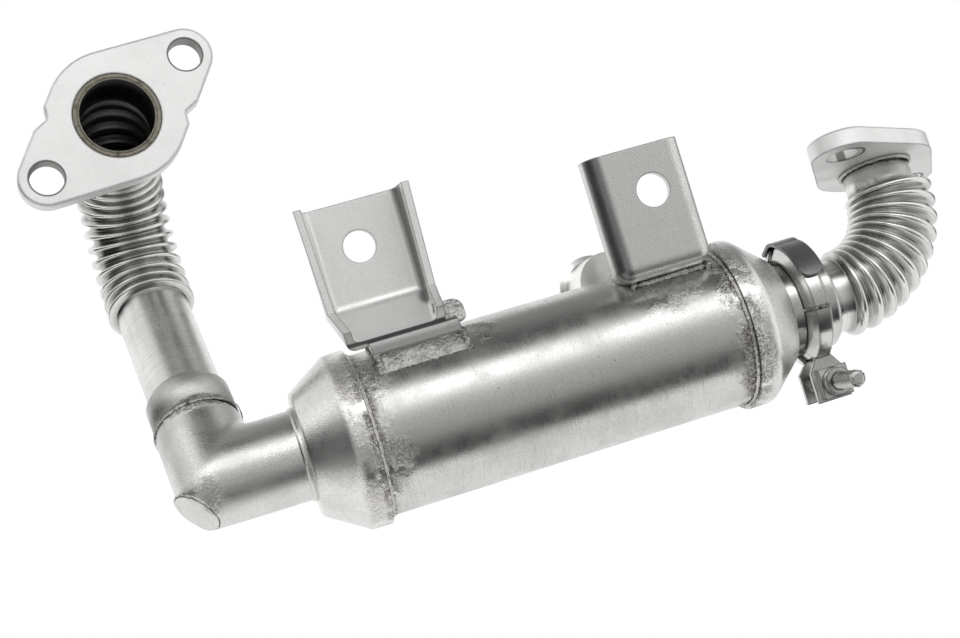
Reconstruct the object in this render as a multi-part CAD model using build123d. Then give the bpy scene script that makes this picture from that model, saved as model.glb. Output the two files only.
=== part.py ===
from build123d import *
import math
import os

# An exhaust gas cooler: a round shell with a cone at each end, a mitred elbow with
# a corrugated pipe and flange at the left, and a V-band clamp that holds a second
# corrugated pipe and flange at the right. Two sheet brackets stand on the shell.
# While it is drawn, the shell's axis is X, the left seam is X = 0 and -Y is the front.
# Everything is moved at the end, so that the origin is the left bracket's hole.

# Shell and seams
SHELL_RADIUS = 27.0
SHELL_WALL = 1.5
SHELL_LENGTH = 127.5
SHELL_LAP = 5.0
PUSH_CLEARANCE = 0.1
SEAM_BEAD_WIDTH = 1.8
SEAM_BEAD_HEIGHT = 1.1
BEAD_CROWN = 0.65

# End cones. The collars stand over the shell.
CONE_WALL = 1.6
CONE_RIDGE_ROUND = 4.0
INLET_COLLAR_RISE = 2.3
INLET_COLLAR_LENGTH = 6.8
INLET_CONE_LENGTH = 13.9
INLET_CONE_TIP_RADIUS = 20.4
INLET_TIP_ROUND = 1.8
OUTLET_COLLAR_RISE = 2.0
OUTLET_COLLAR_LENGTH = 7.0
OUTLET_CONE_LENGTH = 11.4
OUTLET_TIP_STEP = 2.5
INLET_COLLAR_RADIUS = SHELL_RADIUS + INLET_COLLAR_RISE
OUTLET_COLLAR_RADIUS = SHELL_RADIUS + OUTLET_COLLAR_RISE

# Gas elbow and its plug
ELBOW_DISTANCE = 49.27
ELBOW_RISE = 0.5
ELBOW_NECK_RADIUS = 15.0
ELBOW_BRANCH_RADIUS = 14.6
ELBOW_WALL = 1.6
ELBOW_NECK_LAP = 4.2
ELBOW_BRANCH_LENGTH = 22.4
PLUG_RADIUS = 7.9
PLUG_THICKNESS = 2.2
PLUG_PROUD = 0.2
PLUG_FACE_DISTANCE = 13.7
PORT_WALL = 0.8
BRANCH_BEAD_WIDTH = 1.8
BRANCH_BEAD_HEIGHT = 0.5
ELBOW_CENTRE = Vector(-ELBOW_DISTANCE, 0, ELBOW_RISE)

# Corrugated pipes
TUBE_RADIUS = 12.6
TUBE_WALL = 0.6
CREST_RADIUS = 15.4
CREST_SHARPNESS = 0.7
BANDS_PER_CREST = 4
INNER_CREST_RADIUS = 14.3

# Inlet pipe, measured from the elbow's centre
INLET_PIPE_DIRECTION = Vector(-0.075, 0.601, 0.796).normalized()
INLET_SOCKET_RADIUS = 14.2
INLET_SOCKET_LENGTH = 11.3
INLET_SHOULDER_LENGTH = 3.6
INLET_SHOULDER_SHAPE = ((0.4, 0.25), (0.75, 0.85))
INLET_STRAIGHT_END = 77.4
INLET_BEND_RADIUS = 37.2
INLET_FACE_DIRECTION = Vector(0.143, -0.989, 0.049).normalized()
INLET_CREST_COUNT = 15
INLET_CREST_PITCH = 5.3
INLET_FIRST_CREST = 3.4
INLET_END_STRAIGHT = 20.2

# Outlet pipe, measured from the clamp's joint plane
OUTLET_PIPE_DROP = 0.7
OUTLET_STRAIGHT_LENGTH = 15.4
OUTLET_BEND_RADIUS = 32.2
OUTLET_FACE_DIRECTION = Vector(0.092, 0.198, 0.976).normalized()
OUTLET_CREST_COUNT = 11
OUTLET_CREST_PITCH = 4.56
OUTLET_FIRST_CREST = 2.0
OUTLET_END_STRAIGHT = 10.7
OUTLET_END_RADIUS = 11.8
OUTLET_END_TAPER = 1.5
OUTLET_END_SET = Vector(-1.9, 0.25, 0.1)
OUTLET_END_SET_RUN = 3.5

# Pipe flanges. The notch sizes are distances and an angle on the flange's face.
FLANGE_THICKNESS = 6.2
FLANGE_HOLE_RADIUS = 5.5
FLANGE_EDGE_CHAMFER = 0.5
INLET_HOLE_SPACING = 61.7
INLET_CENTRE_RADIUS = 22.3
INLET_LOBE_RADIUS = 9.1
INLET_LONG_AXIS = Vector(0.860, 0.149, 0.488)
OUTLET_HOLE_SPACING = 56.6
OUTLET_CENTRE_RADIUS = 20.6
OUTLET_LOBE_RADIUS = 10.9
OUTLET_LONG_AXIS = Vector(0.680, 0.7035, -0.2068)
NOTCH_LENGTH = 7.8
NOTCH_HEIGHT = 13.95
NOTCH_START = 17.1
NOTCH_SLANT = 59.0
NOTCH_ROUND = 1.5
FLANGE_BEAD_WIDTH = 1.5
FLANGE_BEAD_DEPTH = 2.0
COLLAR_BEAD_WIDTH = 1.4
COLLAR_BEAD_HEIGHT = 1.6

# V-band clamp, with angles from the top towards the front
BAND_FLAT_RADIUS = 21.0
BAND_FLAT_WIDTH = 4.8
BAND_DEPTH = 3.8
BAND_EDGE_WIDTH = 9.6
BAND_SHEET = 1.2
BAND_HINGE_ANGLE = 6.0
BAND_SPLIT_ANGLE = 97.5
BAND_SPLIT_GAP = 0.9
BAND_EDGE_RADIUS = BAND_FLAT_RADIUS - BAND_DEPTH
STRAP_SHEET = 1.2
STRAP_WIDTH = 8.4
STRAP_OFFSET_X = 1.0
STRAP_END_ANGLE = 67.5
STRAP_REAR_ANGLE = -24.0
STRAP_HUMP_ANGLE = 14.0
STRAP_HUMP_HEIGHT = 0.8
STRAP_HUMP_LAP = 1.0
STRAP_END_ROUND = 3.5

# Clamp joint
CLAMP_NECK_LENGTH = 9.1
LIP_INSET = 1.7
NECK_INSET = 0.4
NECK_BORE_RADIUS = 12.7
NECK_LAP = 1.5
SLEEVE_LENGTH = 7.6
SLEEVE_SHOULDER = 1.4
SLEEVE_SHOULDER_SHAPE = ((0.7, 0.8), (1.0, 0.35))
SEAL_THICKNESS = 0.8
SEAL_INNER_RADIUS = 13.6
SEAL_INSET = 1.1
JOINT_X = SHELL_LENGTH + OUTLET_COLLAR_LENGTH + OUTLET_CONE_LENGTH + CLAMP_NECK_LENGTH
LIP_RADIUS = BAND_FLAT_RADIUS - LIP_INSET
NECK_RADIUS = BAND_EDGE_RADIUS - NECK_INSET
OUTLET_CONE_TIP_RADIUS = NECK_RADIUS + OUTLET_TIP_STEP

# Clamp lugs and bolt. The bolt hangs under the band and the lugs reach below the bolt.
LUG_WIDTH = 12.0
LUG_TAPER_HEIGHT = 2.6
LUG_BELOW_BOLT = 5.9
LUG_SHEET = 1.6
LUG_FRONT_Y = -8.8
LUG_REAR_Y = 1.2
BOLT_RADIUS = 2.9
BOLT_OFFSET_X = 1.0
BOLT_DROP = 7.1
BOLT_END_Y = -29.0
BOLT_END_CHAMFER = 0.7
BOLT_HEAD_LENGTH = 9.0
BOLT_HEAD_HEIGHT = 7.0
BOLT_HEAD_THICKNESS = 2.6
BOLT_CLEARANCE = 0.2
NUT_PLATE = 10.4
NUT_PLATE_THICKNESS = 2.0
NUT_COLLAR_RADIUS = 4.7
NUT_LENGTH = 5.4
BOLT_X = JOINT_X + BOLT_OFFSET_X
BOLT_Z = -BAND_FLAT_RADIUS - BOLT_DROP

# Left bracket. Heights are over the shell, and each pair of X values is left and right.
BRACKET_SHEET = 2.6
LEFT_BEND = 3.0
LEFT_INNER_BEND = 2.4
LEFT_LAP = 3.0
LEFT_WEB_MARGIN = 0.2
LEFT_PLATE_Y = 3.0
LEFT_TOP_HEIGHT = 49.55
LEFT_KNEE_HEIGHT = 14.5
LEFT_KNEE_ROUND = 5.0
LEFT_TOE_HEIGHT = 2.4
LEFT_TOE_Y = -12.0
LEFT_FLANGE_DEPTH = 9.5
LEFT_FLANGE_CORNER_HEIGHT = 14.2
LEFT_STRIP_DEPTH = 5.0
LEFT_ROOT_X = (1.4, 32.4)
LEFT_TOP_EDGE_X = (-0.14, 34.05)
LEFT_KNEE_EDGE_X = (1.13, 32.7)
LEFT_TOE_ROOT_X = (4.0, 31.6)
LEFT_TOE_EDGE_X = (3.4, 32.0)
LEFT_HOLE_X = 16.15
LEFT_HOLE_HEIGHT = 34.0
LEFT_HOLE_RADIUS = 5.5
SADDLE_X = (8.0, 38.0)
SADDLE_ANGLES = (-6.0, 35.0)
SADDLE_LIFT = 1.6
EAR_X = (31.6, 41.4)
EAR_Y = -7.8
EAR_HEIGHT = 8.0
EAR_TOP_ROUND = 3.8
EAR_BOTTOM_ROUND = 2.0
LEFT_BEAD_ANGLE = 50.6
SADDLE_BEAD_HEIGHT = 2.3
SADDLE_BEAD_FULLNESS = 0.75

# Right bracket, measured back from the outlet seam and up from the shell
RIGHT_PLATE_INSET = 3.0
RIGHT_INSET = 3.5
RIGHT_WIDTH = 33.3
RIGHT_TOP_HEIGHT = 38.0
RIGHT_BOTTOM_DROP = 4.4
RIGHT_BEND = 5.0
RIGHT_FLANGE_DEPTH = 8.4
RIGHT_FOOT_DEPTH = 12.0
RIGHT_HOLE_INSET = 17.4
RIGHT_HOLE_HEIGHT = 22.8
RIGHT_HOLE_RADIUS = 5.65
RIGHT_BEAD_INSETS = (31.5, 4.5)
RIGHT_BEAD_ANGLE = 41.0
RIGHT_HOLE_X = SHELL_LENGTH - RIGHT_HOLE_INSET
RIGHT_HOLE_Z = SHELL_RADIUS + RIGHT_HOLE_HEIGHT
RIGHT_BOTTOM_Z = SHELL_RADIUS - RIGHT_BOTTOM_DROP
RIGHT_PLATE_Y = RIGHT_PLATE_INSET - SHELL_RADIUS

# Coolant pipes
HOSE_PIPE_RADIUS = 10.0
HOSE_PIPE_WALL = 1.2
HOSE_BEAD_RADIUS = 11.8
HOSE_BEAD_WIDTH = 3.0
HOSE_END_LENGTH = 8.0
TOP_PIPE_INSET = 33.5
TOP_PIPE_DROP = 0.5
TOP_PIPE_NEAR_Y = 1.0
TOP_PIPE_LENGTH = 32.0
REAR_PIPE_X = 30.0
REAR_PIPE_Z = -3.0
REAR_PIPE_LENGTH = 24.0
TOP_PIPE_X = SHELL_LENGTH - TOP_PIPE_INSET
TOP_PIPE_Z = SHELL_RADIUS - TOP_PIPE_DROP

# Tube bundle. The pitch is a share of the shell's inside radius.
HEADER_THICKNESS = 3.0
HEADER_INSET = 4.0
GAS_TUBE_RADIUS = 4.0
GAS_TUBE_WALL = 0.6
GAS_TUBE_SHARE = 0.412
GAS_TUBE_STICK_OUT = 1.5
BAFFLE_COUNT = 2
BAFFLE_THICKNESS = 1.5
BAFFLE_CUT = 10.0

# Longer than any piece, for cuts that run right through
REACH = SHELL_LENGTH + INLET_STRAIGHT_END
ORIGIN_SHIFT = -Vector(LEFT_HOLE_X, LEFT_PLATE_Y + BRACKET_SHEET, SHELL_RADIUS + LEFT_HOLE_HEIGHT)
MITRE = Plane(origin=ELBOW_CENTRE, x_dir=(0, 1, 0), z_dir=Vector(1, 0, 0) - INLET_PIPE_DIRECTION)
PLUG_DIRECTION = -(Vector(1, 0, 0) + INLET_PIPE_DIRECTION).normalized()


def turned(*points):
    """A solid of revolution about the shell's axis, from (x, radius) points"""
    return revolve(make_face(Polyline(*points, close=True)), Axis.X)


def x_ring(start_x, end_x, outer_radius, inner_radius):
    """A plain ring about the shell's axis"""
    return turned(
        (start_x, inner_radius), (end_x, inner_radius), (end_x, outer_radius), (start_x, outer_radius)
    )


def rod(start, end, radius):
    """A plain round bar between two points"""
    along = end - start
    return Plane(origin=start, z_dir=along) * Cylinder(
        radius, along.length, align=(Align.CENTER, Align.CENTER, Align.MIN)
    )


def tube(start, end, radius, wall):
    """A round tube between two points"""
    return rod(start, end, radius) - rod(start, end, radius - wall)


def block(x_range, y_range, z_range):
    """A box from its lowest and highest coordinates"""
    size = [high - low for low, high in (x_range, y_range, z_range)]
    middle = [(high + low) / 2 for low, high in (x_range, y_range, z_range)]
    return Pos(*middle) * Box(*size)


def shell_cutter():
    """The space that the shell takes, for a sheet that sits on it"""
    return Rot(0, 90, 0) * Cylinder(SHELL_RADIUS + PUSH_CLEARANCE, REACH * 2)


def around_shell(radius, angle):
    """A point in the YZ plane, by its angle from the top towards the front"""
    turn = math.radians(angle)
    return Vector(0, -radius * math.sin(turn), radius * math.cos(turn))


def sector(x_range, radii, angles, lift=0):
    """A curved strip about the shell's axis, whose middle may stand off by a lift"""
    inner, outer = radii
    start, end = angles
    middle = (start + end) / 2
    edges = [
        ThreePointArc(
            around_shell(inner, start), around_shell(inner + lift, middle), around_shell(inner, end)
        ),
        Line(around_shell(inner, end), around_shell(outer, end)),
        ThreePointArc(
            around_shell(outer, end), around_shell(outer + lift, middle), around_shell(outer, start)
        ),
        Line(around_shell(outer, start), around_shell(inner, start)),
    ]
    face = Pos(x_range[0], 0, 0) * make_face(edges)
    return extrude(face, amount=x_range[1] - x_range[0], dir=(1, 0, 0))


def bend_path(start, run_in, run_out, bend_radius):
    """Planes along a straight, a bend and a straight, by distance from the bend's start"""
    turn = math.acos(run_in.dot(run_out))
    inward = (run_out - run_in * run_in.dot(run_out)).normalized()

    def plane_at(distance):
        angle = min(max(distance / bend_radius, 0), turn)
        along = run_in * math.cos(angle) + inward * math.sin(angle)
        point = start + run_in * (bend_radius * math.sin(angle))
        point += inward * (bend_radius * (1 - math.cos(angle)))
        point += along * (distance - angle * bend_radius)
        return Plane(origin=point, x_dir=run_in.cross(inward), z_dir=along)

    return plane_at, turn * bend_radius


def corrugation(first_crest, pitch, count, root, crest, bands):
    """(distance, radius) pairs of a row of rounded crests"""
    stations = []
    for step in range(count * bands + 1):
        swell = abs(math.sin(math.pi * step / bands)) ** CREST_SHARPNESS
        distance = first_crest - pitch / 2 + pitch * step / bands
        stations.append((distance, root + (crest - root) * swell))
    return stations


def lofted_pipe(plane_at, stations):
    """A solid through the circles at the given (distance, radius) pairs"""
    circles = [plane_at(distance) * Circle(radius) for distance, radius in stations]
    return loft(circles, ruled=True)


def corrugated_pipe(plane_at, plain_start, crests, plain_end):
    """A thin pipe: plain stations, a row of crests, and more plain stations"""
    first_crest, pitch, count = crests
    outer = corrugation(first_crest, pitch, count, TUBE_RADIUS, CREST_RADIUS, BANDS_PER_CREST)
    inner = corrugation(first_crest, pitch, count, TUBE_RADIUS - TUBE_WALL, INNER_CREST_RADIUS, 2)
    start_bore = [(distance, radius - TUBE_WALL) for distance, radius in plain_start]
    end_bore = [(distance, radius - TUBE_WALL) for distance, radius in plain_end]
    body = lofted_pipe(plane_at, plain_start + outer + plain_end)
    return body - lofted_pipe(plane_at, start_bore + inner + end_bore)


def inlet_path():
    """The inlet pipe's path, and where its mating face lies along it"""
    start = ELBOW_CENTRE + INLET_PIPE_DIRECTION * INLET_STRAIGHT_END
    plane_at, arc = bend_path(start, INLET_PIPE_DIRECTION, INLET_FACE_DIRECTION, INLET_BEND_RADIUS)
    return plane_at, arc + INLET_END_STRAIGHT


def outlet_path():
    """The outlet pipe's path, whose end is set over, and where its flange's underside lies"""
    start = Vector(JOINT_X + OUTLET_STRAIGHT_LENGTH, 0, -OUTLET_PIPE_DROP)
    bend_at, arc = bend_path(start, Vector(1, 0, 0), OUTLET_FACE_DIRECTION, OUTLET_BEND_RADIUS)

    def plane_at(distance):
        plane = bend_at(distance)
        share = min(max((distance - arc) / OUTLET_END_SET_RUN, 0), 1)
        return Plane(origin=plane.origin + OUTLET_END_SET * share, x_dir=plane.x_dir, z_dir=plane.z_dir)

    return plane_at, arc + OUTLET_END_STRAIGHT


def cooler_shell():
    """The round shell, open to the two coolant pipes"""
    shell = x_ring(-SHELL_LAP, SHELL_LENGTH + SHELL_LAP, SHELL_RADIUS, SHELL_RADIUS - SHELL_WALL)
    bore = HOSE_PIPE_RADIUS - HOSE_PIPE_WALL
    top = Vector(TOP_PIPE_X, TOP_PIPE_NEAR_Y + HOSE_PIPE_WALL, TOP_PIPE_Z)
    shell -= rod(top, top + Vector(0, REACH, 0), bore)
    rear = Vector(REAR_PIPE_X, 0, REAR_PIPE_Z)
    shell -= rod(rear, rear + Vector(0, REACH, 0), bore)
    return shell


def seam_bead(seam_x, side):
    """The weld bead in the corner between a collar and the shell"""
    foot = SHELL_RADIUS + PUSH_CLEARANCE / 2
    return turned(
        (seam_x, foot),
        (seam_x + side * SEAM_BEAD_WIDTH, foot),
        (seam_x + side * SEAM_BEAD_WIDTH * BEAD_CROWN, foot + SEAM_BEAD_HEIGHT * BEAD_CROWN),
        (seam_x, foot + SEAM_BEAD_HEIGHT),
    )


def inlet_end_cone():
    """The left end: a collar over the shell, a cone, and an end face round the neck"""
    tip_x = -INLET_COLLAR_LENGTH - INLET_CONE_LENGTH
    slope = math.atan2(INLET_COLLAR_RADIUS - INLET_CONE_TIP_RADIUS, INLET_CONE_LENGTH)
    lining = CONE_WALL / math.cos(slope)
    bore = SHELL_RADIUS + PUSH_CLEARANCE
    face_hole = ELBOW_NECK_RADIUS - CONE_WALL
    step_x = -INLET_COLLAR_LENGTH + (bore - INLET_COLLAR_RADIUS + lining) / math.tan(slope)
    inner_tip = INLET_CONE_TIP_RADIUS - lining + CONE_WALL * math.tan(slope)
    profile = make_face(Polyline(
        (0, bore),
        (0, INLET_COLLAR_RADIUS),
        (-INLET_COLLAR_LENGTH, INLET_COLLAR_RADIUS),
        (tip_x, INLET_CONE_TIP_RADIUS),
        (tip_x, face_hole),
        (tip_x + CONE_WALL, face_hole),
        (tip_x + CONE_WALL, inner_tip),
        (step_x, bore),
        close=True,
    ))
    profile = fillet(profile.vertices().sort_by(Axis.X)[0:2].sort_by(Axis.Y)[-1], INLET_TIP_ROUND)
    ridge = profile.vertices().sort_by_distance((-INLET_COLLAR_LENGTH, INLET_COLLAR_RADIUS, 0))[0]
    cone = revolve(fillet(ridge, CONE_RIDGE_ROUND), Axis.X)
    neck_end = Vector(0, 0, ELBOW_CENTRE.Z)
    return cone - rod(ELBOW_CENTRE, neck_end, ELBOW_NECK_RADIUS + PUSH_CLEARANCE)


def outlet_end_cone():
    """The right end: a collar over the shell and a cone down to the clamp's neck"""
    knee_x = SHELL_LENGTH + OUTLET_COLLAR_LENGTH
    tip_x = knee_x + OUTLET_CONE_LENGTH
    slope = math.atan2(OUTLET_COLLAR_RADIUS - OUTLET_CONE_TIP_RADIUS, OUTLET_CONE_LENGTH)
    lining = CONE_WALL / math.cos(slope)
    bore = SHELL_RADIUS + PUSH_CLEARANCE
    step_x = knee_x - (bore - OUTLET_COLLAR_RADIUS + lining) / math.tan(slope)
    neck_bore = NECK_RADIUS + PUSH_CLEARANCE
    neck_x = tip_x - (neck_bore - OUTLET_CONE_TIP_RADIUS + lining) / math.tan(slope)
    profile = make_face(Polyline(
        (SHELL_LENGTH, bore),
        (SHELL_LENGTH, OUTLET_COLLAR_RADIUS),
        (knee_x, OUTLET_COLLAR_RADIUS),
        (tip_x, OUTLET_CONE_TIP_RADIUS),
        (tip_x, neck_bore),
        (neck_x, neck_bore),
        (step_x, bore),
        close=True,
    ))
    ridge = profile.vertices().sort_by_distance((knee_x, OUTLET_COLLAR_RADIUS, 0))[0]
    return revolve(fillet(ridge, CONE_RIDGE_ROUND), Axis.X)


def elbow_body(grow):
    """The mitred elbow's solid form, with its radii changed by grow"""
    along_x = Vector(1, 0, 0)
    beyond = ELBOW_NECK_RADIUS * 3
    neck_end = Vector(ELBOW_NECK_LAP - INLET_COLLAR_LENGTH - INLET_CONE_LENGTH, 0, ELBOW_RISE)
    neck_rod = rod(ELBOW_CENTRE - along_x * beyond, neck_end, ELBOW_NECK_RADIUS + grow)
    neck = split(neck_rod, bisect_by=MITRE, keep=Keep.TOP)
    branch_end = ELBOW_CENTRE + INLET_PIPE_DIRECTION * ELBOW_BRANCH_LENGTH
    branch_start = ELBOW_CENTRE - INLET_PIPE_DIRECTION * beyond
    branch = split(
        rod(branch_start, branch_end, ELBOW_BRANCH_RADIUS + grow), bisect_by=MITRE, keep=Keep.BOTTOM
    )
    return neck + branch


def port_rod(start, end, radius):
    """A round bar on the plug's axis, between two distances from the elbow's centre"""
    return rod(ELBOW_CENTRE + PLUG_DIRECTION * start, ELBOW_CENTRE + PLUG_DIRECTION * end, radius)


def gas_elbow():
    """The mitred elbow, hollow, with a short port on its outer corner"""
    port_end = PLUG_FACE_DISTANCE - PLUG_PROUD
    seat = PLUG_FACE_DISTANCE - PLUG_THICKNESS
    port_radius = PLUG_RADIUS + PUSH_CLEARANCE + PORT_WALL
    body = elbow_body(0) + port_rod(0, port_end, port_radius) - port_rod(port_end, REACH, REACH)
    body -= elbow_body(-ELBOW_WALL) - port_rod(seat - ELBOW_WALL, REACH, REACH)
    body -= port_rod(seat, REACH, PLUG_RADIUS + PUSH_CLEARANCE)
    return body


def elbow_plug():
    """The flat round plug that closes the elbow's port"""
    return port_rod(PLUG_FACE_DISTANCE - PLUG_THICKNESS, PLUG_FACE_DISTANCE, PLUG_RADIUS)


def elbow_weld():
    """The bead between the elbow's branch and the inlet pipe's socket"""
    plane = Plane(
        origin=ELBOW_CENTRE + INLET_PIPE_DIRECTION * ELBOW_BRANCH_LENGTH, z_dir=INLET_PIPE_DIRECTION
    )
    top = ELBOW_BRANCH_RADIUS + BRANCH_BEAD_HEIGHT
    half = BRANCH_BEAD_WIDTH / 2
    foot = ELBOW_BRANCH_RADIUS + PUSH_CLEARANCE / 2
    profile = Polyline(
        (foot, 0, -half), (top, 0, -half / 2), (top, 0, half / 2), (foot, 0, half), close=True
    )
    return plane * revolve(make_face(profile), Axis.Z)


def inlet_bellows_pipe():
    """The inlet pipe: a socket at the elbow, a straight, the bellows and a plain end"""
    plane_at, face = inlet_path()
    start = ELBOW_BRANCH_LENGTH - INLET_STRAIGHT_END
    socket_end = start + INLET_SOCKET_LENGTH
    drop = INLET_SOCKET_RADIUS - TUBE_RADIUS
    plain = [(start, INLET_SOCKET_RADIUS), (socket_end, INLET_SOCKET_RADIUS)]
    for run, fall in INLET_SHOULDER_SHAPE:
        plain.append((socket_end + INLET_SHOULDER_LENGTH * run, INLET_SOCKET_RADIUS - drop * fall))
    plain.append((socket_end + INLET_SHOULDER_LENGTH, TUBE_RADIUS))
    crests = (INLET_FIRST_CREST, INLET_CREST_PITCH, INLET_CREST_COUNT)
    return corrugated_pipe(plane_at, plain, crests, [(face, TUBE_RADIUS)])


def outlet_bellows_pipe():
    """The outlet pipe: a plain end in the clamp's sleeve, the bellows and a plain end"""
    plane_at, underside = outlet_path()
    start = SEAL_THICKNESS - OUTLET_STRAIGHT_LENGTH
    last_root = OUTLET_FIRST_CREST + OUTLET_CREST_PITCH * (OUTLET_CREST_COUNT - 0.5)
    end = underside + FLANGE_THICKNESS - FLANGE_BEAD_DEPTH
    crests = (OUTLET_FIRST_CREST, OUTLET_CREST_PITCH, OUTLET_CREST_COUNT)
    plain = [(last_root + OUTLET_END_TAPER, OUTLET_END_RADIUS), (end, OUTLET_END_RADIUS)]
    return corrugated_pipe(plane_at, [(start, TUBE_RADIUS)], crests, plain)


def flange_plane(plane_at, distance, long_axis):
    """The plane at a distance along a pipe, turned so that X runs along a flange"""
    plane = plane_at(distance)
    flat = long_axis - plane.z_dir * long_axis.dot(plane.z_dir)
    return Plane(origin=plane.origin, x_dir=flat, z_dir=plane.z_dir)


def edge_notch():
    """The outline of a notch in a flange's edge, on the lower right of its face"""
    slant = math.radians(NOTCH_SLANT)
    run = INLET_CENTRE_RADIUS / 2
    corner = (NOTCH_START, -NOTCH_HEIGHT)
    outline = make_face(Polyline(
        (NOTCH_START + NOTCH_LENGTH, -NOTCH_HEIGHT),
        corner,
        (NOTCH_START - run * math.cos(slant), -NOTCH_HEIGHT - run * math.sin(slant)),
        (NOTCH_START + NOTCH_LENGTH, -INLET_CENTRE_RADIUS),
        close=True,
    ))
    inner = outline.vertices().sort_by_distance((*corner, 0))[0]
    return fillet(inner, NOTCH_ROUND)


def oval_outline(hole_spacing, centre_radius, lobe_radius):
    """The outline of a flange: a middle circle and a lobe at each bolt hole"""
    edges = Circle(centre_radius).edges()
    for side in (-1, 1):
        edges += (Pos(side * hole_spacing / 2, 0) * Circle(lobe_radius)).edges()
    return make_hull(edges)


def oval_flange(plane, outline, hole_spacing, pipe_radius):
    """A two-bolt flange whose outer face lies on the plane"""
    body = extrude(outline, amount=-FLANGE_THICKNESS)
    body = chamfer(body.faces().sort_by(Axis.Z)[-1].edges(), FLANGE_EDGE_CHAMFER)
    for side in (-1, 1):
        body -= Pos(side * hole_spacing / 2, 0) * Cylinder(FLANGE_HOLE_RADIUS, FLANGE_THICKNESS * 3)
    body -= Cylinder(pipe_radius + PUSH_CLEARANCE, FLANGE_THICKNESS * 3)
    body -= Cylinder(pipe_radius + FLANGE_BEAD_WIDTH + PUSH_CLEARANCE, FLANGE_BEAD_DEPTH * 2)
    return plane * body


def notched_outline():
    """The inlet flange's outline, with a notch in each long side"""
    outline = oval_outline(INLET_HOLE_SPACING, INLET_CENTRE_RADIUS, INLET_LOBE_RADIUS)
    outline -= edge_notch()
    return outline - Rot(0, 0, 180) * edge_notch()


def flange_bead(plane, outer, inner):
    """The weld ring sunk in a flange's face"""
    ring = Cylinder(outer, FLANGE_BEAD_DEPTH, align=(Align.CENTER, Align.CENTER, Align.MAX))
    return plane * (ring - Cylinder(inner, FLANGE_BEAD_DEPTH * 3))


def collar_bead(plane):
    """The raised weld ring round the outlet pipe under its flange"""
    foot = OUTLET_END_RADIUS + PUSH_CLEARANCE / 2
    top = OUTLET_END_RADIUS + COLLAR_BEAD_WIDTH
    base = -FLANGE_THICKNESS
    profile = Polyline(
        (foot, 0, base),
        (top, 0, base),
        (top, 0, base - COLLAR_BEAD_HEIGHT * BEAD_CROWN),
        (foot, 0, base - COLLAR_BEAD_HEIGHT),
        close=True,
    )
    return plane * revolve(make_face(profile), Axis.Z)


def band_widths():
    """The clamp section's sheet thickness along X in a leg, and its inner half width at the crown"""
    slope = (BAND_EDGE_WIDTH - BAND_FLAT_WIDTH) / 2 / (BAND_FLAT_RADIUS - BAND_EDGE_RADIUS)
    leg = BAND_SHEET * math.hypot(slope, 1)
    return slope, leg, BAND_FLAT_WIDTH / 2 - leg + BAND_SHEET * slope


def lip_half_width(radius):
    """Half the width that the clamp leaves for the two V-flanges at a radius"""
    slope, _, crown = band_widths()
    return crown + slope * (BAND_FLAT_RADIUS - BAND_SHEET - radius) - PUSH_CLEARANCE


def lip_points(side, bore):
    """(x, radius) points of a V-flange's lip, from its face out to its neck"""
    face = JOINT_X + side * SEAL_THICKNESS / 2
    return [
        (face, bore),
        (face, LIP_RADIUS),
        (JOINT_X + side * lip_half_width(LIP_RADIUS), LIP_RADIUS),
        (JOINT_X + side * lip_half_width(NECK_RADIUS), NECK_RADIUS),
    ]


def cooler_v_flange():
    """The V-flange on the outlet cone"""
    start = JOINT_X - CLAMP_NECK_LENGTH - NECK_LAP
    return turned(
        *lip_points(-1, NECK_BORE_RADIUS), (start, NECK_RADIUS), (start, NECK_BORE_RADIUS)
    )


def pipe_v_flange():
    """The V-flange and sleeve on the outlet pipe, with a shoulder down to the pipe"""
    end = JOINT_X + SLEEVE_LENGTH
    bore = TUBE_RADIUS + OUTLET_PIPE_DROP + PUSH_CLEARANCE
    shoulder = []
    for run, rest in SLEEVE_SHOULDER_SHAPE:
        shoulder.append((end + SLEEVE_SHOULDER * run, bore + (NECK_RADIUS - bore) * rest))
    return turned(*lip_points(1, bore), (end, NECK_RADIUS), *shoulder, (end + SLEEVE_SHOULDER, bore))


def seal_ring():
    """The flat seal between the two V-flanges"""
    half = SEAL_THICKNESS / 2
    return x_ring(JOINT_X - half, JOINT_X + half, LIP_RADIUS - SEAL_INSET, SEAL_INNER_RADIUS)


def band_segment(start_angle, end_angle):
    """A V-section strip of the clamp between two angles"""
    flat = BAND_FLAT_WIDTH / 2
    edge = BAND_EDGE_WIDTH / 2
    _, leg, crown = band_widths()
    profile = make_face(Polyline(
        (JOINT_X - edge, BAND_EDGE_RADIUS),
        (JOINT_X - flat, BAND_FLAT_RADIUS),
        (JOINT_X + flat, BAND_FLAT_RADIUS),
        (JOINT_X + edge, BAND_EDGE_RADIUS),
        (JOINT_X + edge - leg, BAND_EDGE_RADIUS),
        (JOINT_X + crown, BAND_FLAT_RADIUS - BAND_SHEET),
        (JOINT_X - crown, BAND_FLAT_RADIUS - BAND_SHEET),
        (JOINT_X - edge + leg, BAND_EDGE_RADIUS),
        close=True,
    ))
    upright = Rot(90, 0, 0) * profile
    return Rot(start_angle, 0, 0) * revolve(upright, Axis.X, end_angle - start_angle)


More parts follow.
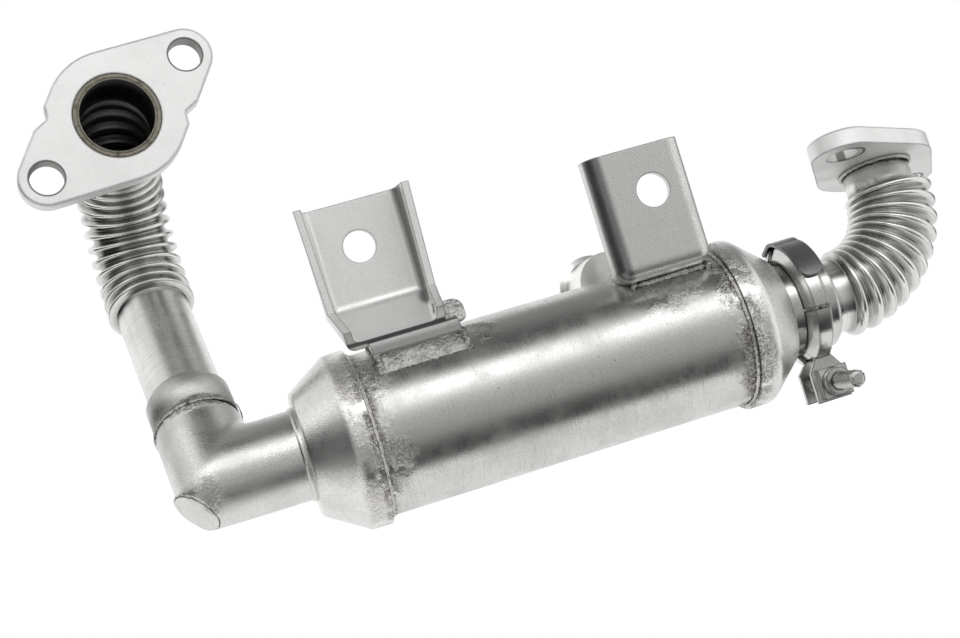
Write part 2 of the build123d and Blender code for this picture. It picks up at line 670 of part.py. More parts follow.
def lug(face_y):
    """A flat lug that widens below the clamp's band, with a hole for the bolt"""
    top = -math.sqrt((BAND_FLAT_RADIUS - BAND_SHEET) ** 2 - (face_y + LUG_SHEET / 2) ** 2)
    shoulder = -BAND_FLAT_RADIUS - LUG_TAPER_HEIGHT
    outline = [
        (-LUG_WIDTH / 2, BOLT_Z - LUG_BELOW_BOLT),
        (LUG_WIDTH / 2, BOLT_Z - LUG_BELOW_BOLT),
        (LUG_WIDTH / 2, shoulder),
        (BAND_FLAT_WIDTH / 2, top),
        (-BAND_FLAT_WIDTH / 2, top),
        (-LUG_WIDTH / 2, shoulder),
    ]
    face = make_face(Polyline(*(Vector(JOINT_X + x, face_y, z) for x, z in outline), close=True))
    plate = extrude(face, amount=LUG_SHEET, dir=(0, 1, 0))
    return plate - bolt_rod(REACH, -REACH, BOLT_RADIUS + BOLT_CLEARANCE)


def bolt_rod(start_y, end_y, radius):
    """A round bar on the clamp bolt's axis"""
    return rod(Vector(BOLT_X, start_y, BOLT_Z), Vector(BOLT_X, end_y, BOLT_Z), radius)


def lug_angle(face_y):
    """The angle from the top at which the clamp's band reaches a lug"""
    middle = face_y + LUG_SHEET / 2
    return 180 + math.degrees(math.asin(middle / BAND_FLAT_RADIUS))


def split_angle(side):
    """The angle from the top at which a front strip ends, above or below the split"""
    return BAND_SPLIT_ANGLE + side * math.degrees(BAND_SPLIT_GAP / 2 / BAND_FLAT_RADIUS)


def clamp_upper_segment():
    """The clamp's front upper strip"""
    return band_segment(BAND_HINGE_ANGLE, split_angle(-1))


def clamp_lower_segment():
    """The clamp's front lower strip, with the front lug"""
    return band_segment(split_angle(1), lug_angle(LUG_FRONT_Y)) + lug(LUG_FRONT_Y)


def clamp_rear_segment():
    """The clamp's rear strip, with the rear lug"""
    return band_segment(lug_angle(LUG_REAR_Y), 360 - BAND_HINGE_ANGLE) + lug(LUG_REAR_Y)


def clamp_strap():
    """The strap over the clamp's hinge: a raised hump, then a curved end with round corners"""
    low = BAND_FLAT_RADIUS + PUSH_CLEARANCE
    high = low + STRAP_SHEET
    middle_x = JOINT_X + STRAP_OFFSET_X
    x_range = (middle_x - STRAP_WIDTH / 2, middle_x + STRAP_WIDTH / 2)
    front = sector(x_range, (low, high), (STRAP_HUMP_ANGLE, STRAP_END_ANGLE))
    rear = sector(x_range, (low, high), (STRAP_REAR_ANGLE, -STRAP_HUMP_ANGLE))
    half_hump = STRAP_HUMP_ANGLE + STRAP_HUMP_LAP
    hump = sector(x_range, (low, high), (-half_hump, half_hump), STRAP_HUMP_HEIGHT)
    strap = front + hump + rear
    ends = strap.edges().filter_by(lambda edge: abs(edge.length - STRAP_SHEET) < 0.01)
    tip = around_shell(high, STRAP_END_ANGLE)
    corners = ends.sort_by_distance((middle_x, tip.Y, tip.Z))[0:2]
    return fillet(corners, STRAP_END_ROUND)


def clamp_bolt():
    """The T-bolt through both lugs"""
    head_y = LUG_REAR_Y + LUG_SHEET
    half_x = BOLT_HEAD_LENGTH / 2
    half_z = BOLT_HEAD_HEIGHT / 2
    head = block(
        (BOLT_X - half_x, BOLT_X + half_x),
        (head_y, head_y + BOLT_HEAD_THICKNESS),
        (BOLT_Z - half_z, BOLT_Z + half_z),
    )
    shank = bolt_rod(head_y, BOLT_END_Y, BOLT_RADIUS)
    tip = shank.edges().filter_by(GeomType.CIRCLE).sort_by(Axis.Y)[0]
    return head + chamfer(tip, BOLT_END_CHAMFER)


def clamp_nut():
    """The nut on the front lug: a square base and a round collar"""
    half = NUT_PLATE / 2
    plate = block(
        (BOLT_X - half, BOLT_X + half),
        (LUG_FRONT_Y - NUT_PLATE_THICKNESS, LUG_FRONT_Y),
        (BOLT_Z - half, BOLT_Z + half),
    )
    collar = bolt_rod(LUG_FRONT_Y - NUT_PLATE_THICKNESS, LUG_FRONT_Y - NUT_LENGTH, NUT_COLLAR_RADIUS)
    return plate + collar - bolt_rod(REACH, -REACH, BOLT_RADIUS + PUSH_CLEARANCE / 2)


def bracket_side(side, sections):
    """A bracket's side flange, lofted from the top past the knee to the toe"""
    outlines = []
    for plane, root_x, edge_x, depth in sections:
        front = BRACKET_SHEET + depth
        inside = root_x - side * LEFT_LAP
        corner = (root_x + side * BRACKET_SHEET, 0)
        outline = make_face(Polyline(
            (edge_x, front),
            (root_x, BRACKET_SHEET),
            (inside, BRACKET_SHEET),
            (inside, 0),
            corner,
            (edge_x + side * BRACKET_SHEET, front),
            close=True,
        ))
        outline = fillet(outline.vertices().sort_by_distance((*corner, 0))[0], LEFT_BEND)
        root = outline.vertices().sort_by_distance((root_x, BRACKET_SHEET, 0))[0]
        outlines.append(plane * fillet(root, LEFT_INNER_BEND))
    return loft(outlines, ruled=True)


def left_bracket():
    """The left bracket: a flanged plate, a sloping leg, a saddle on the shell and an ear"""
    rear_y = LEFT_PLATE_Y + BRACKET_SHEET
    along_x = Vector(1, 0, 0)
    knee = Vector(0, LEFT_PLATE_Y, SHELL_RADIUS + LEFT_KNEE_HEIGHT)
    toe = Vector(0, LEFT_TOE_Y, SHELL_RADIUS + LEFT_TOE_HEIGHT)
    down = (toe - knee).normalized()
    rear_toe = toe + along_x.cross(down) * BRACKET_SHEET
    rear_knee = rear_toe + down * ((rear_y - rear_toe.Y) / down.Y)
    top = Vector(0, rear_y, SHELL_RADIUS + LEFT_TOP_HEIGHT)
    front_top = Vector(0, LEFT_PLATE_Y, top.Z)
    fold = make_face(Polyline(front_top, knee, toe, rear_toe, rear_knee, top, close=True))
    inner_knee = fold.vertices().sort_by_distance(knee)[0]
    fold = extrude(fillet(inner_knee, LEFT_KNEE_ROUND), amount=REACH, dir=(1, 0, 0))
    left, right = (LEFT_ROOT_X[0] - LEFT_WEB_MARGIN, LEFT_ROOT_X[1] + LEFT_WEB_MARGIN)
    toe_left, toe_right = (LEFT_TOE_ROOT_X[0] - LEFT_WEB_MARGIN, LEFT_TOE_ROOT_X[1] + LEFT_WEB_MARGIN)
    window = [
        (left, top.Z),
        (left, knee.Z),
        (toe_left, toe.Z),
        (toe_left, SHELL_RADIUS),
        (toe_right, SHELL_RADIUS),
        (toe_right, toe.Z),
        (right, knee.Z),
        (right, top.Z),
    ]
    front = make_face(Polyline(*(Vector(x, rear_y, z) for x, z in window), close=True))
    body = fold & extrude(front, amount=REACH, dir=(0, -1, 0))
    corner = Vector(0, LEFT_PLATE_Y - LEFT_FLANGE_DEPTH, SHELL_RADIUS + LEFT_FLANGE_CORNER_HEIGHT)
    planes = [
        Plane(origin=top, x_dir=along_x, z_dir=(0, 0, -1)),
        Plane(origin=rear_knee, x_dir=along_x, z_dir=along_x.cross(corner - rear_knee)),
        Plane(origin=rear_toe, x_dir=along_x, z_dir=down),
    ]
    roots = (LEFT_ROOT_X, LEFT_ROOT_X, LEFT_TOE_ROOT_X)
    edges = (LEFT_TOP_EDGE_X, LEFT_KNEE_EDGE_X, LEFT_TOE_EDGE_X)
    depths = (LEFT_FLANGE_DEPTH, LEFT_FLANGE_DEPTH, LEFT_STRIP_DEPTH)
    for index, side in enumerate((-1, 1)):
        sections = [(p, r[index], e[index], d) for p, r, e, d in zip(planes, roots, edges, depths)]
        body += bracket_side(side, sections)
    under = SHELL_RADIUS + PUSH_CLEARANCE
    body += sector(SADDLE_X, (under, under + BRACKET_SHEET), SADDLE_ANGLES, SADDLE_LIFT)
    ear = block(EAR_X, (EAR_Y - BRACKET_SHEET, EAR_Y), (SHELL_RADIUS, SHELL_RADIUS + EAR_HEIGHT))
    ends = ear.edges().filter_by(Axis.Y).sort_by(Axis.X)[-2:].sort_by(Axis.Z)
    ear = fillet(ends[1], EAR_TOP_ROUND)
    ends = ear.edges().filter_by(Axis.Y).sort_by(lambda edge: edge.center().Z - edge.center().X)
    body += fillet(ends[0], EAR_BOTTOM_ROUND)
    hole = Vector(LEFT_HOLE_X, 0, SHELL_RADIUS + LEFT_HOLE_HEIGHT)
    body -= rod(hole - Vector(0, REACH, 0), hole + Vector(0, REACH, 0), LEFT_HOLE_RADIUS)
    return body - shell_cutter()


def saddle_bead(x_range, start_angle, end_angle, start_height):
    """A tapering weld bead on the shell along the front edge of a sheet"""
    foot = SHELL_RADIUS + PUSH_CLEARANCE / 2
    middle = (start_angle + end_angle) / 2
    start_top = around_shell(foot + start_height, start_angle)
    end_top = around_shell(foot, end_angle)
    edges = [
        ThreePointArc(*(around_shell(foot, a) for a in (start_angle, middle, end_angle))),
        ThreePointArc(
            end_top, around_shell(foot + start_height * SADDLE_BEAD_FULLNESS, middle), start_top
        ),
        Line(start_top, around_shell(foot, start_angle)),
    ]
    face = Pos(x_range[0], 0, 0) * make_face(edges)
    return extrude(face, amount=x_range[1] - x_range[0], dir=(1, 0, 0))


def left_bracket_weld():
    """The weld along the left bracket's saddle"""
    return saddle_bead(SADDLE_X, SADDLE_ANGLES[1], LEFT_BEAD_ANGLE, SADDLE_BEAD_HEIGHT)


def pan_form(x_range, y_range, z_range, bend):
    """A box with its front edges rounded, apart from the top one, and its lower corners too"""
    form = block(x_range, y_range, z_range)
    front = form.faces().sort_by(Axis.Y)[0]
    rim = front.edges().sort_by(Axis.Z)[:-1]
    lower = form.edges().filter_by(Axis.Y).sort_by(Axis.Z)[:2]
    return fillet(rim + lower, bend)


def right_bracket():
    """The right bracket: a pressed pan with side flanges and a foot that reach the shell"""
    high_x = SHELL_LENGTH - RIGHT_INSET
    low_x = high_x - RIGHT_WIDTH
    sheet = BRACKET_SHEET
    side_y = RIGHT_PLATE_Y + RIGHT_FLANGE_DEPTH
    foot_y = RIGHT_PLATE_Y + RIGHT_FOOT_DEPTH
    top_z = SHELL_RADIUS + RIGHT_TOP_HEIGHT
    pan = pan_form((low_x, high_x), (RIGHT_PLATE_Y, foot_y), (RIGHT_BOTTOM_Z, top_z), RIGHT_BEND)
    pan -= pan_form(
        (low_x + sheet, high_x - sheet),
        (RIGHT_PLATE_Y + sheet, REACH),
        (RIGHT_BOTTOM_Z + sheet, REACH),
        RIGHT_BEND - sheet,
    )
    pan -= block((0, REACH), (side_y, REACH), (RIGHT_BOTTOM_Z + RIGHT_BEND, REACH))
    hole = Vector(RIGHT_HOLE_X, 0, RIGHT_HOLE_Z)
    pan -= rod(hole - Vector(0, REACH, 0), hole + Vector(0, REACH, 0), RIGHT_HOLE_RADIUS)
    return pan - shell_cutter()


def right_bracket_weld():
    """The weld under the right bracket's foot"""
    foot = SHELL_RADIUS + PUSH_CLEARANCE / 2
    start_angle = math.degrees(math.acos((RIGHT_BOTTOM_Z - PUSH_CLEARANCE) / foot))
    corner = around_shell(foot, start_angle)
    end = around_shell(foot, RIGHT_BEAD_ANGLE)
    top = Vector(0, end.Y, corner.Z)
    middle = around_shell(foot, (start_angle + RIGHT_BEAD_ANGLE) / 2)
    edges = [ThreePointArc(corner, middle, end), Line(end, top), Line(top, corner)]
    first, last = (SHELL_LENGTH - inset for inset in RIGHT_BEAD_INSETS)
    return extrude(Pos(first, 0, 0) * make_face(edges), amount=last - first, dir=(1, 0, 0))


def hose_end(base, length):
    """A pipe along Y with a rolled bead for a hose near its end"""
    end = base + Vector(0, length, 0)
    bead_y = length - HOSE_END_LENGTH
    half = HOSE_BEAD_WIDTH / 2
    swell = HOSE_BEAD_RADIUS - HOSE_PIPE_RADIUS
    profile = Polyline(
        (HOSE_PIPE_RADIUS - HOSE_PIPE_WALL / 2, bead_y - half),
        (HOSE_PIPE_RADIUS, bead_y - half),
        (HOSE_BEAD_RADIUS, bead_y - half + swell / 2),
        (HOSE_BEAD_RADIUS, bead_y + half - swell / 2),
        (HOSE_PIPE_RADIUS, bead_y + half),
        (HOSE_PIPE_RADIUS - HOSE_PIPE_WALL / 2, bead_y + half),
        close=True,
    )
    bead = Pos(*base) * revolve(make_face(profile), Axis.Y)
    return tube(base, end, HOSE_PIPE_RADIUS, HOSE_PIPE_WALL) + bead


def coolant_top_pipe():
    """The pipe across the top of the shell, with a closed near end"""
    near = Vector(TOP_PIPE_X, TOP_PIPE_NEAR_Y, TOP_PIPE_Z)
    cap = rod(near, near + Vector(0, HOSE_PIPE_WALL, 0), HOSE_PIPE_RADIUS)
    return hose_end(near, TOP_PIPE_LENGTH) + cap - shell_cutter()


def coolant_rear_pipe():
    """The pipe that leaves the back of the shell"""
    reach = REAR_PIPE_LENGTH + SHELL_RADIUS
    return hose_end(Vector(REAR_PIPE_X, 0, REAR_PIPE_Z), reach) - shell_cutter()


def gas_tube_places():
    """(y, z) of each gas tube: one in the middle and two rings of six"""
    pitch = (SHELL_RADIUS - SHELL_WALL) * GAS_TUBE_SHARE
    places = [(0.0, 0.0)]
    for ring_radius, offset in ((pitch, 0), (pitch * math.sqrt(3), 30)):
        for step in range(6):
            turn = math.radians(60 * step + offset)
            places.append((ring_radius * math.cos(turn), ring_radius * math.sin(turn)))
    return places


def tube_plate(start_x, thickness):
    """A round plate inside the shell, drilled for every gas tube"""
    plate = x_ring(start_x, start_x + thickness, SHELL_RADIUS - SHELL_WALL - PUSH_CLEARANCE, 0)
    for y, z in gas_tube_places():
        start = Vector(start_x - thickness, y, z)
        end = Vector(start_x + thickness * 2, y, z)
        plate -= rod(start, end, GAS_TUBE_RADIUS + PUSH_CLEARANCE)
    return plate


def baffle(index):
    """A drilled plate with one side cut away, the sides taking turns"""
    middle = SHELL_LENGTH * (index + 1) / (BAFFLE_COUNT + 1)
    across = (-SHELL_RADIUS, SHELL_RADIUS)
    window = block((0, SHELL_LENGTH), across, (BAFFLE_CUT, SHELL_RADIUS))
    if index % 2 == 0:
        window = Rot(180, 0, 0) * window
    return tube_plate(middle - BAFFLE_THICKNESS / 2, BAFFLE_THICKNESS) - window


def gas_tube(y, z):
    """One thin tube from header plate to header plate"""
    start = HEADER_INSET - GAS_TUBE_STICK_OUT
    return tube(Vector(start, y, z), Vector(SHELL_LENGTH - start, y, z), GAS_TUBE_RADIUS, GAS_TUBE_WALL)


def all_nodes():
    """Every piece of the cooler, by name"""
    inlet_at, inlet_face = inlet_path()
    outlet_at, outlet_underside = outlet_path()
    inlet_plane = flange_plane(inlet_at, inlet_face, INLET_LONG_AXIS)
    outlet_plane = flange_plane(outlet_at, outlet_underside + FLANGE_THICKNESS, OUTLET_LONG_AXIS)
    outlet_outline = oval_outline(OUTLET_HOLE_SPACING, OUTLET_CENTRE_RADIUS, OUTLET_LOBE_RADIUS)
    nodes = {
        "cooler_shell": cooler_shell(),
        "inlet_end_cone": inlet_end_cone(),
        "inlet_seam_weld": seam_bead(0, 1),
        "outlet_end_cone": outlet_end_cone(),
        "outlet_seam_weld": seam_bead(SHELL_LENGTH, -1),
        "gas_elbow": gas_elbow(),
        "elbow_plug": elbow_plug(),
        "elbow_weld": elbow_weld(),
        "inlet_bellows_pipe": inlet_bellows_pipe(),
        "inlet_flange": oval_flange(inlet_plane, notched_outline(), INLET_HOLE_SPACING, TUBE_RADIUS),
        "inlet_flange_weld": flange_bead(
            inlet_plane, TUBE_RADIUS + FLANGE_BEAD_WIDTH, TUBE_RADIUS + PUSH_CLEARANCE / 2
        ),
        "outlet_bellows_pipe": outlet_bellows_pipe(),
        "outlet_flange": oval_flange(
            outlet_plane, outlet_outline, OUTLET_HOLE_SPACING, OUTLET_END_RADIUS
        ),
        "outlet_flange_weld": flange_bead(
            outlet_plane, OUTLET_END_RADIUS + FLANGE_BEAD_WIDTH, OUTLET_END_RADIUS - TUBE_WALL
        ),
        "outlet_collar_weld": collar_bead(outlet_plane),
        "cooler_v_flange": cooler_v_flange(),
        "pipe_v_flange": pipe_v_flange(),
        "seal_ring": seal_ring(),
        "clamp_upper_segment": clamp_upper_segment(),
        "clamp_lower_segment": clamp_lower_segment(),
        "clamp_rear_segment": clamp_rear_segment(),
        "clamp_strap": clamp_strap(),
        "clamp_bolt": clamp_bolt(),
        "clamp_nut": clamp_nut(),
        "left_bracket": left_bracket(),
        "left_bracket_weld": left_bracket_weld(),
        "right_bracket": right_bracket(),
        "right_bracket_weld": right_bracket_weld(),
        "coolant_top_pipe": coolant_top_pipe(),
        "coolant_rear_pipe": coolant_rear_pipe(),
        "inlet_header_plate": tube_plate(HEADER_INSET, HEADER_THICKNESS),
        "outlet_header_plate": tube_plate(
            SHELL_LENGTH - HEADER_INSET - HEADER_THICKNESS, HEADER_THICKNESS
        ),
    }
    for index in range(BAFFLE_COUNT):
        nodes[f"baffle_{index + 1}"] = baffle(index)
    for index, (y, z) in enumerate(gas_tube_places()):
        nodes[f"gas_tube_{index + 1}"] = gas_tube(y, z)
    return nodes


os.makedirs("parts", exist_ok=True)
for name, solid in all_nodes().items():
    export_step(Pos(*ORIGIN_SHIFT) * solid, f"parts/{name}.step")
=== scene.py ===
import math
import random
from collections import namedtuple

import bpy
from mathutils import Matrix, Vector, noise


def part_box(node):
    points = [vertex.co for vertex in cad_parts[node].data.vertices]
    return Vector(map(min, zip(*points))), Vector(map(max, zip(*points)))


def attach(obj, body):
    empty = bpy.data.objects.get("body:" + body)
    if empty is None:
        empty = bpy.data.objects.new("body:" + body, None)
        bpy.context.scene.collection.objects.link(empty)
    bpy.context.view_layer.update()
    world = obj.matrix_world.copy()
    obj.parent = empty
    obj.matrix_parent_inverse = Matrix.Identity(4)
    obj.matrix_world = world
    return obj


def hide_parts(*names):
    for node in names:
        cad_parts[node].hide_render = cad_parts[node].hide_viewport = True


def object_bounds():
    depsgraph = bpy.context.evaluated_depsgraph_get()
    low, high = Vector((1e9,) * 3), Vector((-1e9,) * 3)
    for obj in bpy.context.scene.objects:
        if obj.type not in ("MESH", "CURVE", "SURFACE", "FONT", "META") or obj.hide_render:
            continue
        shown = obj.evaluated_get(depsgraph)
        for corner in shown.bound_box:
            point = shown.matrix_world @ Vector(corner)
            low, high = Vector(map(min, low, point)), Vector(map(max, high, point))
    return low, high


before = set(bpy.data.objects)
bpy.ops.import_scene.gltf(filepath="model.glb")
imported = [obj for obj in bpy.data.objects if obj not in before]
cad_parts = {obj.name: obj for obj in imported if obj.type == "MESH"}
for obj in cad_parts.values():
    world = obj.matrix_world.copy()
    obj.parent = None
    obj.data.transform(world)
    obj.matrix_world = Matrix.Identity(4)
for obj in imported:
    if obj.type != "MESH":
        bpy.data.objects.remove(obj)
cad_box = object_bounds()

# The object's sizes and places are millimetres in the drawing frame of part.py: the shell's
# axis is X and the left seam is X = 0. place() turns them into the CAD frame, in metres. What
# has no counterpart in part.py, such as the width of a mark, is in metres.
ORIGIN_SHIFT = Vector((-16.15, -5.6, -61.0))
MM = 0.001


def place(x, y, z):
    """A point of the drawing frame, in metres in the CAD frame"""
    return (Vector((x, y, z)) + ORIGIN_SHIFT) * MM


# Sizes of the object, as in part.py
UP = Vector((0.0, 0.0, 1.0))
SIDEWAYS = Vector((1.0, 0.0, 0.0))
SEAM_LEFT = place(0, 0, 0).x
SEAM_RIGHT = place(127.5, 0, 0).x
TUBE_RADIUS = 12.6
TUBE_WALL = 0.6
CREST_RADIUS = 15.4
END_TAPER = 1.5
ELBOW_CENTRE = Vector((-49.27, 0.0, 0.5))
# The inlet pipe's start and bend, from the elbow's centre
INLET_WELD_DISTANCE = 22.4
INLET_BEND_DISTANCE = 77.4
SOCKET_RADIUS = 14.2
OUTLET_START_X = 155.8
OUTLET_BEND_X = 170.4
OUTLET_SET_RUN = 3.5
INLET = {
    "run_in": Vector((-0.075, 0.601, 0.796)).normalized(),
    "run_out": Vector((0.143, -0.989, 0.049)).normalized(),
    "bend": 37.2,
    "crests": 15,
    "pitch": 5.3,
    "first": 3.4,
    "end": 20.2,
    "end_radius": 12.6,
    "set": Vector((0.0, 0.0, 0.0)),
    "hole_axis": Vector((0.860, 0.149, 0.488)),
    "hole_spacing": 61.7,
}
INLET["start"] = ELBOW_CENTRE + INLET["run_in"] * INLET_BEND_DISTANCE
OUTLET = {
    "run_in": Vector((1.0, 0.0, 0.0)),
    "run_out": Vector((0.092, 0.198, 0.976)).normalized(),
    "bend": 32.2,
    "crests": 11,
    "pitch": 4.56,
    "first": 2.0,
    "end": 14.9,
    "end_radius": 11.8,
    "set": Vector((-1.9, 0.25, 0.1)),
    "start": Vector((OUTLET_BEND_X, 0.0, -0.7)),
    "hole_axis": Vector((0.680, 0.7035, -0.2068)),
    "hole_spacing": 56.6,
}
# The scene's own socket, with a sharper shoulder than in part.py, and the lip of the inlet cone
# round the elbow's neck
SOCKET_LENGTH = 12.2
SHOULDER_LENGTH = 2.6
LIP_X = -21.3
LIP_RADIUS = 14.95
LIP_HALF_WIDTH = 1.2
LIP_RISE = 0.75
# How finely the scene's own pipes are cut
PIPE_SIDES = 128
STEPS_PER_CREST = 20
SHOULDER_STEPS = 8
LIP_STEPS = 10
# Where a pipe's plain rows end, from its bend's start
PLAIN_END = -4.0
# How flat a crest's top is, and how uneven a crest's height and place are, as shares
CREST_FLATNESS = 1.5
CREST_UNEVEN = 0.05
PITCH_UNEVEN = 0.03

# Camera, solved from the photograph
CAMERA_AT = Vector((-0.06045, -0.49794, -0.05516))
CAMERA_RIGHT = Vector((0.9431, -0.1635, -0.2896))
CAMERA_UP = Vector((0.2778, -0.0916, 0.9563))
CAMERA_BACK = Vector((-0.1829, -0.9823, -0.0410))
FOCAL_PIXELS = 1507.44
FRAME_WIDTH = 960
SENSOR = 36.0
NEAREST = 0.01


def make_camera():
    """The photograph's camera"""
    lens = bpy.data.cameras.new("camera")
    lens.sensor_width = SENSOR
    lens.lens = FOCAL_PIXELS / FRAME_WIDTH * SENSOR
    lens.clip_start = NEAREST
    camera = bpy.data.objects.new("camera", lens)
    turn = Matrix((CAMERA_RIGHT, CAMERA_UP, CAMERA_BACK)).transposed().to_4x4()
    camera.matrix_world = Matrix.Translation(CAMERA_AT) @ turn
    bpy.context.scene.collection.objects.link(camera)
    bpy.context.scene.camera = camera


def grey(level):
    """A grey with its alpha"""
    return (level, level, level, 1.0)


def shade(colour, share):
    """A darker form of a colour, with its alpha"""
    return tuple(part * share for part in colour) + (1.0,)


class Graph:
    """Short calls for building one node tree"""

    def __init__(self, tree):
        self.tree = tree

    def add(self, kind, **settings):
        node = self.tree.nodes.new(kind)
        for key, value in settings.items():
            setattr(node, key, value)
        return node

    def put(self, socket, value):
        if isinstance(value, bpy.types.NodeSocket):
            self.tree.links.new(value, socket)
        else:
            socket.default_value = value

    def math(self, operation, first, second=0.0, clamp=False):
        node = self.add("ShaderNodeMath", operation=operation, use_clamp=clamp)
        self.put(node.inputs[0], first)
        self.put(node.inputs[1], second)
        return node.outputs[0]

    def vector(self, operation, first, second=None):
        node = self.add("ShaderNodeVectorMath", operation=operation)
        self.put(node.inputs[0], first)
        if operation == "SCALE":
            self.put(node.inputs["Scale"], second)
        elif second is not None:
            self.put(node.inputs[1], second)
        is_number = operation in ("DOT_PRODUCT", "LENGTH", "DISTANCE")
        return node.outputs["Value" if is_number else "Vector"]

    def mix(self, factor, first, second):
        node = self.add("ShaderNodeMix", data_type="RGBA")
        self.put(node.inputs["Factor"], factor)
        self.put(node.inputs["A"], first)
        self.put(node.inputs["B"], second)
        return node.outputs["Result"]

    def span(self, value, low, high):
        """Maps low..high to 0..1, smoothly, and holds the ends"""
        node = self.add("ShaderNodeMapRange", interpolation_type="SMOOTHSTEP")
        self.put(node.inputs["Value"], value)
        node.inputs["From Min"].default_value = low
        node.inputs["From Max"].default_value = high
        return node.outputs["Result"]

    def noise(self, spot, scale, detail=2.0, roughness=0.5):
        node = self.add("ShaderNodeTexNoise")
        self.put(node.inputs["Vector"], spot)
        node.inputs["Scale"].default_value = scale
        node.inputs["Detail"].default_value = detail
        node.inputs["Roughness"].default_value = roughness
        return node.outputs["Fac"]

    def stretch(self, spot, turn, scale):
        """Coordinates turned, then scaled by a different amount along each axis"""
        turned = self.add("ShaderNodeMapping")
        self.put(turned.inputs["Vector"], spot)
        turned.inputs["Rotation"].default_value = turn
        scaled = self.add("ShaderNodeMapping")
        self.put(scaled.inputs["Vector"], turned.outputs[0])
        scaled.inputs["Scale"].default_value = scale
        return scaled.outputs[0]

    def bump(self, height, normal=None):
        node = self.add("ShaderNodeBump")
        node.inputs["Strength"].default_value = BUMP_STRENGTH
        node.inputs["Distance"].default_value = BUMP_DISTANCE
        self.put(node.inputs["Height"], height)
        if normal is not None:
            self.put(node.inputs["Normal"], normal)
        return node.outputs["Normal"]


# The studio's brightness round the shell's axis, by degrees: 0 is straight up, 90 the front and
# 180 straight down
STUDIO_START = -90
STUDIO = (
    (-90, 1.05), (-70, 1.0), (-55, 0.75), (-40, 0.32), (-10, 0.24), (12, 0.07), (30, 0.09),
    (40, 0.8), (46, 2.6), (54, 2.3), (62, 1.3), (72, 0.66), (88, 0.5), (100, 0.47), (112, 0.38),
    (126, 0.10), (140, 0.04), (152, 0.06), (167, 0.7), (190, 0.8), (230, 0.85), (250, 1.0),
    (269, 1.05),
)
# The studio's ends, which take over where the direction's x passes from one figure to the other
LEFT_END = (-0.15, -0.5)
RIGHT_END = (0.4, 0.8)
# Their fronts and rears, which meet where its y passes from one figure to the other
LEFT_FRONT_LEVEL = 0.6
LEFT_REAR_LEVEL = 1.05
LEFT_TURN = (-0.2, 0.5)
RIGHT_FRONT_LEVEL = 1.0
RIGHT_REAR_LEVEL = 0.12
RIGHT_TURN = (0.15, 0.45)
# A dark card at the left, by the reach of the direction's x, y and height
CARD_LEVEL = 0.03
CARD_X = (-0.5, -0.75)
CARD_Y = (0.6, 0.35)
CARD_Z = (0.5, 0.25)
# Where the white backdrop shows in the metal, by the direction's y
BACKDROP_Y = (0.55, 0.85)


def make_world():
    """A soft studio: pale at the left and rear, a bright strip above, a dark card at the left"""
    world = bpy.data.worlds.new("studio")
    bpy.context.scene.world = world
    world.use_nodes = True
    graph = Graph(world.node_tree)
    split = graph.add("ShaderNodeSeparateXYZ")
    graph.put(split.inputs[0], graph.add("ShaderNodeTexCoord").outputs["Generated"])
    x, y, z = split.outputs
    angle = graph.math("ARCTAN2", graph.math("MULTIPLY", y, -1.0), z)
    turn = graph.math("ADD", graph.math("DIVIDE", angle, math.tau), -STUDIO_START / 360)
    ramp = graph.add("ShaderNodeValToRGB")
    graph.put(ramp.inputs["Fac"], graph.math("FRACT", turn))
    stops = ramp.color_ramp.elements
    for index, (degrees, level) in enumerate(STUDIO):
        position = (degrees - STUDIO_START) / 360
        stop = stops[index] if index < 2 else stops.new(position)
        stop.position = position
        stop.color = grey(level)
    left = graph.mix(graph.span(y, *LEFT_TURN), grey(LEFT_FRONT_LEVEL), grey(LEFT_REAR_LEVEL))
    light = graph.mix(graph.span(x, *LEFT_END), ramp.outputs["Color"], left)
    card = graph.math("MULTIPLY", graph.span(x, *CARD_X), graph.span(y, *CARD_Y))
    card = graph.math("MULTIPLY", card, graph.span(graph.math("ABSOLUTE", z), *CARD_Z))
    light = graph.mix(card, light, grey(CARD_LEVEL))
    right = graph.mix(graph.span(y, *RIGHT_TURN), grey(RIGHT_FRONT_LEVEL), grey(RIGHT_REAR_LEVEL))
    light = graph.mix(graph.span(x, *RIGHT_END), light, right)
    rays = graph.add("ShaderNodeLightPath").outputs
    behind = graph.math("MULTIPLY", rays["Is Glossy Ray"], graph.span(y, *BACKDROP_Y))
    backdrop = graph.math("MAXIMUM", rays["Is Camera Ray"], rays["Is Transmission Ray"])
    backdrop = graph.math("MAXIMUM", backdrop, behind)
    background = world.node_tree.nodes["Background"]
    graph.put(background.inputs["Color"], graph.mix(backdrop, light, grey(1.0)))


FLOOR_DROP = 0.25
FLOOR_LOW = (-0.6, -0.15)
FLOOR_HIGH = (0.8, 0.5)
FLOOR_GREY = 0.9
# The share of the seen floor that glows, so that the rest keeps the object's shadow, and a glow
# that makes up for that rest
GLOW_SHARE = 0.8
FLOOR_GLOW = 1.09


